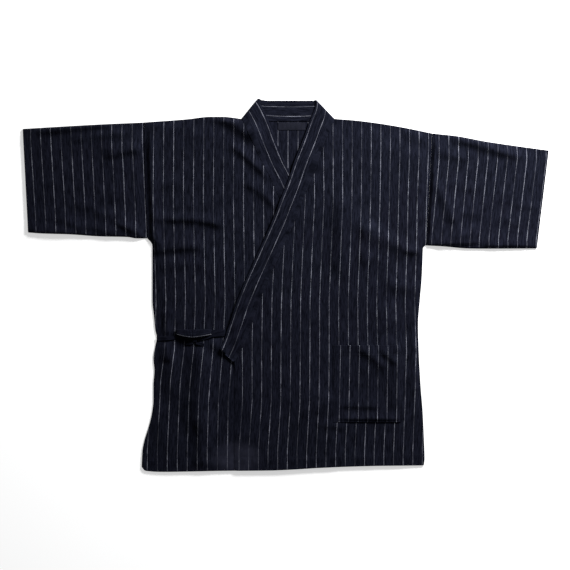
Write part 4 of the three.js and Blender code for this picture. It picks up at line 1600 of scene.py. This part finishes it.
@dataclass
class PatchPocket:
    """The patch pocket on the left front, with a doubled mouth."""

    garment: Garment
    left: float = 104.0
    right: float = 252.5
    bottom: float = -299.0
    top: float = -131.0
    gape: float = 1.1
    gape_reach: float = 60.0
    mouth_hem: float = 20.0
    mouth_ditch: float = 0.4
    turning: float = 9.0
    side_ditch: Triple = (2.2, 0.35, 1.1)
    step: float = 2.4
    side_reach: float = 5.0
    fold_reach: float = 4.0
    thinnest: float = 0.35
    flat_corner: Triple = (42.0, 4.0, 26.0)
    edge_steps: Numbers = (0.3, 0.9, 1.8)
    lay: StripeLay = StripeLay((-131, -252.5, -299), (120.5, 118.0, 117.0), (20.7, 20.9, 21.0))
    folds: tuple[Fold, ...] = (
        Fold((104, -262), (222, -265), 0, 12, 5, 2.9),
        Fold((94, -290.5), (262, -291.5), 0, 7, 3.5, 2.9),
    )

    def build(self, wardrobe: Wardrobe, cotton: Material) -> None:
        """Args:
            wardrobe: where it is declared.
            cotton: its finish.
        """
        g = self.garment
        width, height = self.right - self.left, self.top - self.bottom
        mouth = [1 - (self.mouth_hem + extra) / height for extra in g.hem_breaks]
        across = spread(width, self.step, self.edge_steps)
        along = spread(height, self.step, self.edge_steps, mouth)
        x = np.broadcast_to(mix(self.left, self.right, across)[None, :], (len(along), len(across)))
        y = np.broadcast_to(mix(self.bottom, self.top, along)[:, None], x.shape)
        open_up = smooth(y, self.top - self.gape_reach, self.top)
        open_up = open_up * np.sin(math.pi * (x - self.left) / width)
        from_top = self.top - y
        from_ends = np.minimum(x - self.left, self.right - x)
        from_side = np.minimum(from_ends, y - self.bottom)
        sag = folded(self.folds, x, y) * smooth(from_side, 0, self.fold_reach)
        under = g.over_front_top(x, y) + g.piece_gap + self.gape * open_up + sag
        doubled = 1 - smooth(from_top, self.mouth_hem, self.mouth_hem + g.hem_step)
        turned = 1 - smooth(from_side, self.turning, self.turning + g.hem_step)
        row, depth, reach = self.side_ditch
        ditch = groove(from_top - self.mouth_hem + g.ditch_inset, self.mouth_ditch, g.ditch_width)
        ditch = ditch + groove(from_side - row, depth, reach)
        wall = g.cloth + g.hem_extra * np.maximum(doubled, turned) - ditch
        corner, low, high = self.flat_corner
        flat = smooth(from_ends, 0, self.side_reach)
        flat = flat * mix(smooth(x - self.left, 0, corner), 1.0, smooth(y - self.bottom, low, high))
        over = under + wall * mix(self.thinnest, 1.0, flat)
        places = np.dstack([x, y])
        cloth_map = self.lay.places_of(x, y)
        piece = shell("cloth_pocket", places, under, over, cloth_map, cotton)
        wardrobe.keep(piece, "pocket")
        wardrobe.sheet(piece, plan_span(places), plan_area(places))


@dataclass
class NeckLabel:
    """The blank woven label inside the back neck."""

    garment: Garment
    width: float = 60.0
    height: float = 17.0
    thickness: float = 1.0
    thinnest: float = 0.25
    tuck: float = 0.2
    edge_radius: float = 0.8
    puff: tuple[float, float, float, float] = (0.35, 2.0, 14.0, 6.0)
    ditch: Triple = (3.0, 0.3, 0.8)
    step: float = 2.0
    edge_steps: Numbers = (0.2, 0.6, 1.2, 2.2)
    x: float = 13.0
    top: float = 359.0

    def build(self, wardrobe: Wardrobe, weave: Material) -> None:
        """Args:
            wardrobe: where it is declared.
            weave: its finish.
        """
        g = self.garment
        across = spread(self.width, self.step, self.edge_steps)
        along = spread(self.height, self.step, self.edge_steps)
        x = self.x + (np.broadcast_to(across[None, :], (len(along), len(across))) - 0.5) * self.width
        y = self.top - self.height * (1 - np.broadcast_to(along[:, None], x.shape))
        end = self.width / 2 - np.abs(x - self.x)
        side = np.minimum(self.top - y, y - self.top + self.height)
        full = rounded(np.minimum(end, side), self.edge_radius)
        under = np.full(x.shape, g.pressed - self.tuck)
        rise, near, far, reach = self.puff
        puff = rise * smooth(end, near, far) * smooth(side, 0, reach)
        row, depth, width = self.ditch
        over = under + mix(self.thinnest, self.thickness, full) + puff - groove(end - row, depth, width)
        cloth_map = np.dstack([x, y])
        piece = shell("label_blank", np.dstack([x, y]), under, over, cloth_map, weave)
        wardrobe.keep(piece, "label")
        wardrobe.sheet(piece, (self.width * METRE, self.height * METRE),
                       self.width * self.height * METRE**2)


@dataclass(frozen=True)
class TieRow:
    """One place along the middle of a tie.

    Attributes:
        x: place across the garment.
        y: place up the garment.
        rise: height over the cloth below.
        width: width of the tie there.
        tilt: how much higher the lower edge lies than the upper one.
    """

    x: float
    y: float
    rise: float
    width: float
    tilt: float = 0.0


@dataclass(frozen=True)
class TieRoute:
    """One stretch of tie: the solid it stands for, its rows, and where its pinstripe runs."""

    node: str
    rows: tuple[TieRow, ...]
    is_loop: bool = False
    stripe: float | None = None


@dataclass
class TiedBow:
    """The outer ties and their bow, cut from the same cloth and lying on the right front."""

    garment: Garment
    thickness: float = 1.2
    step: float = 1.2
    plain: float = 11.0
    gather: float = 0.45
    gather_pitch: float = 6.5
    gather_reach: float = 17.0
    gather_lean: float = 0.25
    knot_at: Pair = (-200.5, -119.5)
    knot_size: Triple = (12.5, 10.5, 5.0)
    knot_rise: float = 3.1
    knot_grid: tuple[int, int] = (25, 36)
    knot_pole: float = 0.06
    section: tuple[Pair, ...] = (
        (-1, 0), (-0.96, 0.7), (-0.8, 1), (-0.45, 0.9), (0, 0.75), (0.45, 0.9), (0.8, 1), (0.96, 0.7),
        (1, 0), (0.96, -0.7), (0.8, -1), (0.45, -1), (0, -1), (-0.45, -1), (-0.8, -1), (-0.96, -0.7))
    routes: tuple[TieRoute, ...] = (
        TieRoute("tie_side", (
            TieRow(-283.4, -117.5, 0, 9.4), TieRow(-262, -115.5, 0, 9.2), TieRow(-240, -114, 0, 8.6),
            TieRow(-222, -116.6, 0, 8.6), TieRow(-206.3, -118.6, 0, 8))),
        TieRoute("tie_front", (
            TieRow(-135, -103.6, 0.4, 15.6), TieRow(-150, -104, 1.6, 15.6), TieRow(-162, -106, 2, 15),
            TieRow(-178, -113.2, 1, 11), TieRow(-194.6, -118.8, 0, 8))),
        TieRoute("bow_loop_side", (
            TieRow(-203.5, -111.2, 2, 6.4), TieRow(-212, -109.8, 2, 7), TieRow(-224, -105.8, 0.7, 9),
            TieRow(-236, -102.5, 0.1, 10), TieRow(-240.8, -101.6, 2.1, 10.5, 0.5),
            TieRow(-235, -102, 4.8, 13, 1.8), TieRow(-222, -103.6, 6.6, 16, 4),
            TieRow(-204.5, -104.8, 7.8, 18, 5)), True, 1.3),
        TieRoute("bow_loop_front", (
            TieRow(-198, -111.2, 2, 6.4), TieRow(-188, -109.4, 2, 7), TieRow(-170, -103.4, 1.9, 10),
            TieRow(-163.2, -102, 3.1, 10.5, 0.5), TieRow(-169, -102, 5.2, 13, 1.8),
            TieRow(-184, -103.2, 6.8, 16, 4), TieRow(-203.9, -104.8, 7.8, 18, 5)), True, 1.3),
        TieRoute("bow_end_side", (
            TieRow(-203.6, -125.4, 1.6, 5.6), TieRow(-209, -126.6, 1.2, 6.6),
            TieRow(-215, -127.4, 0.2, 7), TieRow(-221, -127.8, 0, 7))),
        TieRoute("bow_end_front", (
            TieRow(-197.4, -125.4, 1.6, 5.6), TieRow(-191, -127, 1.2, 6.6),
            TieRow(-185, -128.4, 0.2, 7), TieRow(-179, -130.2, 0, 7))),
    )

    def ground(self, x: Array, y: Array, width: Array) -> Array:
        """Returns the highest place of the cloth across a tie of one width."""
        spots = [self.garment.under_front_top(x, y + share * width) for share in (-0.5, 0, 0.5)]
        return np.max(spots, axis=0)

    def line(self, route: TieRoute) -> Array:
        """Evenly spaced places along the middle of a tie.

        Args:
            route: its rows.

        Returns:
            Rows of x, y, z, width and tilt.
        """
        rows = np.array([(row.x, row.y, row.rise, row.width, row.tilt) for row in route.rows])
        padded = np.concatenate([[2 * rows[0] - rows[1]], rows, [2 * rows[-1] - rows[-2]]])
        fine = []
        for a, b, c, d in zip(padded[:-3], padded[1:-2], padded[2:-1], padded[3:]):
            t = np.linspace(0, 1, 24, endpoint=False)[:, None]
            fine.append(0.5 * (2 * b + (c - a) * t + (2 * a - 5 * b + 4 * c - d) * t**2
                               + (3 * b - a - 3 * c + d) * t**3))
        line = np.concatenate([*fine, rows[-1:]])
        run = np.concatenate([[0], np.cumsum(np.linalg.norm(np.diff(line[:, :3], axis=0), axis=1))])
        spots = np.linspace(0, run[-1], max(8, int(run[-1] / self.step)))
        line = np.stack([np.interp(spots, run, column) for column in line.T], axis=1)
        lift = self.garment.piece_gap + self.thickness / 2
        line[:, 2] = np.maximum(line[:, 2], 0) + self.ground(*line[:, [0, 1, 3]].T) + lift
        return line

    def tie(self, route: TieRoute, cotton: Material) -> tuple[Piece, float, float]:
        """Builds one stretch of tie.

        Args:
            route: where it lies.
            cotton: its material.

        Returns:
            The piece, its length in millimetres and its area in square millimetres.
        """
        line = self.line(route)
        middle, half, tilt = line[:, :3], line[:, 3] / 2, line[:, 4]
        run = np.gradient(middle, axis=0)
        run /= np.linalg.norm(run, axis=1, keepdims=True)
        plan = run * (1, 1, 0)
        if route.is_loop:
            plan[:] = (1, 0, 0)
        plan /= np.linalg.norm(plan, axis=1, keepdims=True)
        across = np.stack([-plan[:, 1], plan[:, 0], 0 * half], axis=1) * np.sign(plan[:, :1])
        across[:, 2] = -tilt / (2 * half)
        up = np.cross(run, across)
        up /= np.linalg.norm(up, axis=1, keepdims=True)
        u, w = np.array(self.section).T
        rings = (middle[:, None, :] + across[:, None, :] * (u * half[:, None])[:, :, None]
                 + up[:, None, :] * (w * self.thickness / 2)[None, :, None])
        steps = np.linalg.norm(np.diff(middle, axis=0), axis=1)
        spots = np.concatenate([[0], np.cumsum(steps)])
        if route.is_loop:
            near_knot = np.exp(-((spots - spots[-1]) / self.gather_reach) ** 2)
            lean = spots[:, None] + self.gather_lean * u[None, :] * half[:, None]
            waves = np.sin(2 * math.pi * lean / self.gather_pitch)
            rings[..., 2] += self.gather * near_knot[:, None] * waves
        from_lower = (u + 1) * half[:, None]
        places = self.plain - half[:, None] + from_lower if route.stripe is None else (
            from_lower - route.stripe)
        cloth_map = np.dstack([places, np.broadcast_to(spots[:, None], places.shape)])
        area = float((steps * (half[1:] + half[:-1])).sum())
        return tube(f"tape_{route.node}", rings, cloth_map, cotton), float(spots[-1]), area

    def knot(self, cotton: Material) -> Piece:
        """Builds the knot: a puckered wrap of cloth over a flattened ball.

        Args:
            cotton: its material.

        Returns:
            The piece.
        """
        stations, size = self.knot_grid
        angle = np.linspace(self.knot_pole, math.pi - self.knot_pole, stations)[:, None]
        turn = np.linspace(0, 2 * math.pi, size, endpoint=False)[None, :]
        pucker = 1 + 0.05 * np.sin(5 * turn + 2.0) * np.sin(angle) + 0.03 * np.sin(11 * turn)
        x = np.cos(angle) * np.ones_like(turn)
        y = np.sin(angle) * np.cos(turn) * pucker
        z = np.sin(angle) * np.sin(turn) * pucker
        sizes = np.array(self.knot_size) / 2
        ground = float(self.garment.under_front_top(*np.array(self.knot_at)))
        centre = np.array([*self.knot_at, ground + self.knot_rise])
        rings = np.stack([x * sizes[0], y * sizes[1], z * sizes[2]], axis=-1) * 0.97 + centre
        cloth_map = rings[..., :2] - self.knot_at + (self.plain, 0)
        return tube("tape_bow_knot", rings, cloth_map, cotton)

    def build(self, wardrobe: Wardrobe, cotton: Material) -> None:
        """Args:
            wardrobe: where they are declared.
            cotton: their material.
        """
        wardrobe.keep(self.knot(cotton), "bow_knot")
        for route in self.routes:
            piece, length, area = self.tie(route, cotton)
            wardrobe.keep(piece, route.node)
            width = max(max(row.width for row in route.rows), 10.0)
            wardrobe.sheet(piece, (width * METRE, length * METRE), area * METRE**2)


@dataclass(frozen=True)
class StitchNodes:
    """The node tree that sets stitches along every line of a mesh."""

    thread: Material
    pitch: float = 0.0033
    length: float = 0.0025
    thickness: float = 0.0006
    seed: int = 7

    def build(self) -> tuple[bpy.types.NodeTree, dict[str, object]]:
        """Returns the tree, and the value of each of its inputs by socket identifier."""
        tree = bpy.data.node_groups.new("sewn_rows", "GeometryNodeTree")
        tree.interface.new_socket("Geometry", in_out="INPUT", socket_type="NodeSocketGeometry")
        values = {}
        for name, kind, value in (("Pitch", "Float", self.pitch), ("Stitch length", "Float", self.length),
                                  ("Thickness", "Float", self.thickness), ("Seed", "Int", self.seed)):
            socket = tree.interface.new_socket(name, in_out="INPUT", socket_type=f"NodeSocket{kind}")
            values[socket.identifier] = value
        tree.interface.new_socket("Geometry", in_out="OUTPUT", socket_type="NodeSocketGeometry")

        add = partial(add_node, tree)
        given = add("NodeGroupInput").outputs
        ball = add("GeometryNodeMeshUVSphere", Segments=6, Rings=4, Radius=0.5).outputs["Mesh"]
        size = add("ShaderNodeCombineXYZ", X=given["Thickness"], Y=given["Thickness"],
                   Z=given["Stitch length"]).outputs[0]
        stitch = add("GeometryNodeTransform", Geometry=ball, Scale=size).outputs[0]
        lines = add("GeometryNodeMeshToCurve", Mesh=given["Geometry"]).outputs[0]
        spaced = add("GeometryNodeResampleCurve", {"mode": "LENGTH"}, Curve=lines,
                     Length=given["Pitch"]).outputs[0]
        tangent = add("GeometryNodeInputTangent").outputs[0]
        turn = add("FunctionNodeAlignRotationToVector", {"axis": "Z"}, Vector=tangent).outputs[0]
        uneven = add("FunctionNodeRandomValue", {"data_type": "FLOAT"}, Min=0.85, Max=1.1,
                     Seed=given["Seed"])
        share = next(socket for socket in uneven.outputs if socket.enabled)
        placed = add("GeometryNodeInstanceOnPoints", Points=spaced, Instance=stitch, Rotation=turn,
                     Scale=share).outputs[0]
        real = add("GeometryNodeRealizeInstances", Geometry=placed).outputs[0]
        sewn = add("GeometryNodeSetMaterial", Geometry=real, Material=self.thread).outputs[0]
        add("NodeGroupOutput", Geometry=sewn)
        return tree, values


@dataclass
class Stitching:
    """Rows of tone-on-tone stitches along the hems, cuffs, vents, pocket, label and band."""

    garment: Garment
    sunk: float = 0.05
    hem_row: float = 23.5
    hem_ends: Pair = (-312.0, 300.0)
    hem_gaps: Pair = (4.0, 3.0)
    cuff_row: float = 18.5
    cuff_gap: float = 3.0
    vent_row: float = 7.0
    vent_top: float = -300.0
    band_row: float = 2.0
    band_ends: Pair = (200.0, -162.9)
    pocket_row: float = 2.2
    mouth_row: float = 18.5
    label_row: float = 3.0
    step: float = 2.0
    above: float = 0.1

    def hem_line(self, start: float, stop: float) -> Row:
        """Returns a row along the hem between two places across."""
        return [(float(x), float(self.garment.hem().at(x)) + self.hem_row)
                for x in np.linspace(start, stop, 60)]

    def vent_line(self, side: Side) -> Row:
        """Returns the row up one vent."""
        g = self.garment
        return [(float(g.side_x(side, y)) - side.outward * self.vent_row, float(y))
                for y in np.linspace(side.of(g.hem_feet) + 4, self.vent_top, 30)]

    def band_line(self, side: Side) -> Row:
        """Returns the row along the band's sewn edge on one front."""
        g = self.garment
        return [(float(g.band(side).sewn.at(y)) - side.outward * self.band_row, float(y))
                for y in np.linspace(side.of(self.band_ends), g.neck - 12, 90)]

    def cuff_line(self, side: Side, sleeves: Sleeves) -> Row:
        """Returns the row along one cuff."""
        roots, cuffs = side.of(sleeves.roots), side.of(sleeves.cuffs)
        share = 1 - self.cuff_row / abs(cuffs[1] - roots[1])
        low, high = (mix(root, cuff, share) for root, cuff in zip(roots, cuffs))
        return [(low, float(sleeves.under_seam(side).at(low)) + self.cuff_gap),
                (high, float(sleeves.top_fold(side).at(high)) - self.cuff_gap)]

    def rows(self, pocket: PatchPocket, label: NeckLabel, sleeves: Sleeves) -> dict[str, list[Row]]:
        """Plans the rows.

        Args:
            pocket: the pocket, for its sizes.
            label: the label, for its sizes.
            sleeves: the sleeves, for their edges.

        Returns:
            For each piece, its rows as corners in plan, in millimetres.
        """
        edge = self.garment.front_edge
        hems = ((self.hem_ends[0], edge - self.hem_gaps[0]), (edge + self.hem_gaps[1], self.hem_ends[1]))
        left, right = pocket.left + self.pocket_row, pocket.right - self.pocket_row
        low, mouth = pocket.bottom + self.pocket_row, pocket.top - self.mouth_row
        ends = [label.x + share * (label.width / 2 - self.label_row) for share in (-1, 1)]
        fronts = {f"cloth_front_{side.value}": [self.hem_line(*side.of(hems)), self.vent_line(side)]
                  for side in Side}
        cuffs = {f"cloth_sleeve_{side.value}": [self.cuff_line(side, sleeves)] for side in Side}
        return {
            **fronts,
            "cloth_pocket": [[(left, pocket.top - 1), (left, low), (right, low), (right, pocket.top - 1)],
                             [(pocket.left + 1, mouth), (pocket.right - 1, mouth)]],
            "cloth_collar": [self.band_line(side) for side in (Side.LEFT, Side.RIGHT)],
            "label_blank": [[(x, label.top - label.height + 1), (x, label.top - 1)] for x in ends],
            **cuffs,
        }

    def settled(self, piece: Piece, row: Row) -> Array:
        """Lays a row down on a piece.

        Args:
            piece: the cloth that is sewn.
            row: corners of the row, in plan.

        Returns:
            Places along the row on top of the cloth, in millimetres.
        """
        mesh = piece.data
        tree = BVHTree.FromPolygons([vertex.co for vertex in mesh.vertices],
                                    [face.vertices[:] for face in mesh.polygons])
        corners = np.array(row)
        run = np.concatenate([[0], np.cumsum(np.linalg.norm(np.diff(corners, axis=0), axis=1))])
        spots = np.linspace(0, run[-1], max(2, int(run[-1] / self.step)))
        places = []
        for x, y in zip(*(np.interp(spots, run, column) for column in corners.T)):
            hit = tree.ray_cast(Vector((x * METRE, y * METRE, self.above)), Vector((0, 0, -1)))[0]
            if hit is not None:
                places.append((x, y, hit.z / METRE - self.sunk))
        return np.array(places)

    def build(self, wardrobe: Wardrobe, thread: Material) -> None:
        """Args:
            wardrobe: holds the sewn pieces, and takes the stitches.
            thread: their finish.
        """
        tree, values = StitchNodes(thread).build()
        cloth = {piece.name: piece for piece in wardrobe.pieces}
        rows = self.rows(PatchPocket(self.garment), NeckLabel(self.garment), Sleeves(self.garment))
        for name, lines in rows.items():
            points, edges = [], []
            for line in lines:
                places = self.settled(cloth[name], line)
                start = len(points)
                points.extend(map(tuple, places * METRE))
                edges.extend((start + i, start + i + 1) for i in range(len(places) - 1))
            mesh = bpy.data.meshes.new(f"stitches_{name}")
            mesh.from_pydata(points, edges, [])
            stitches = placed(f"stitches_{name}", mesh)
            modifier = stitches.modifiers.new("sewn_rows", "NODES")
            modifier.node_group = tree
            for identifier, value in values.items():
                modifier[identifier] = value
            ready = stitches.evaluated_get(bpy.context.evaluated_depsgraph_get())
            plain = bpy.data.meshes.new_from_object(ready)
            stitches.modifiers.clear()
            stitches.data = plain
            wardrobe.keep(stitches)


@dataclass
class Studio:
    """Pale floor, soft light from the upper right of the picture, and the camera overhead."""

    millimetres_per_pixel: float = 2.2
    image_pixels: float = 570.0
    lens: float = 85.0
    sensor: float = 36.0
    shift_pixels: Pair = (-0.75, 0.75)
    key_place: Triple = (1.07, 1.35, 0.88)
    key_size: float = 0.57
    key_power: float = 77.5
    sky: Colour = (0.97, 0.98, 1.0, 1)
    sky_strength: float = 0.09
    floor_half: float = 4.0
    floor_drop: float = 0.0004

    def build(self) -> None:
        """Builds the floor, the lights and the camera."""
        self.floor()
        self.key_light()
        world = bpy.context.scene.world or bpy.data.worlds.new("world")
        bpy.context.scene.world = world
        world.use_nodes = True
        background = world.node_tree.nodes["Background"]
        background.inputs[0].default_value = self.sky
        background.inputs[1].default_value = self.sky_strength
        bpy.context.scene.view_settings.view_transform = "Standard"
        self.camera()

    def floor(self) -> None:
        """Builds the floor, just under the garment."""
        mesh = bpy.data.meshes.new("floor")
        corners = ((-1, -1), (1, -1), (1, 1), (-1, 1))
        mesh.from_pydata([(x * self.floor_half, y * self.floor_half, -self.floor_drop)
                          for x, y in corners], [], [(0, 1, 2, 3)])
        mesh.materials.append(FloorPaint().build())
        placed("floor", mesh)

    def key_light(self) -> None:
        """Adds the soft square light, which faces the garment."""
        data = bpy.data.lights.new("key", "AREA")
        data.shape, data.size, data.energy = "SQUARE", self.key_size, self.key_power
        lamp = placed("key", data)
        x, y, z = self.key_place
        lamp.location = self.key_place
        lamp.rotation_euler = (math.atan2(math.hypot(x, y), z), 0, math.atan2(y, x) + math.pi / 2)

    def camera(self) -> None:
        """Hangs the camera straight over the garment, at the picture's scale."""
        data = bpy.data.cameras.new("camera")
        data.lens, data.sensor_width = self.lens, self.sensor
        width = self.millimetres_per_pixel * self.image_pixels * METRE
        pixel = self.millimetres_per_pixel * METRE
        eye = placed("camera", data)
        eye.location = (self.shift_pixels[0] * pixel, self.shift_pixels[1] * pixel,
                        width * self.lens / self.sensor)
        bpy.context.scene.camera = eye


def main() -> None:
    """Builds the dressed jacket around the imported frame."""
    logging.basicConfig(level=logging.INFO, format="%(name)s: %(message)s")
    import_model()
    cotton = StripedCotton().build()
    # Painted shade: the ties and bow get a darker copy of the same cotton, with a darker ground and
    # dimmer pinstripe, for the shade in and under the bow.
    ties = StripedCotton("tie_cotton_painted_shade", ground_light=(0.0080, 0.0088, 0.0165, 1),
                         stripe=(0.120, 0.125, 0.150, 1), weakest=0.12).build()
    weave = PlainWeave("label_weave", (0.0050, 0.0058, 0.0115, 1), (0.0104, 0.0114, 0.0205, 1)).build()
    garment = Garment()
    wardrobe = Wardrobe()
    Studio().build()
    BodyPanels(garment).build(wardrobe, cotton)
    Sleeves(garment).build(wardrobe, cotton)
    CollarBand(garment).build(wardrobe, cotton)
    PatchPocket(garment).build(wardrobe, cotton)
    NeckLabel(garment).build(wardrobe, weave)
    TiedBow(garment).build(wardrobe, ties)
    Stitching(garment).build(wardrobe, SewingThread().build())
    log.info("%d pieces", len(wardrobe.pieces))


if __name__ == "__main__":
    main()
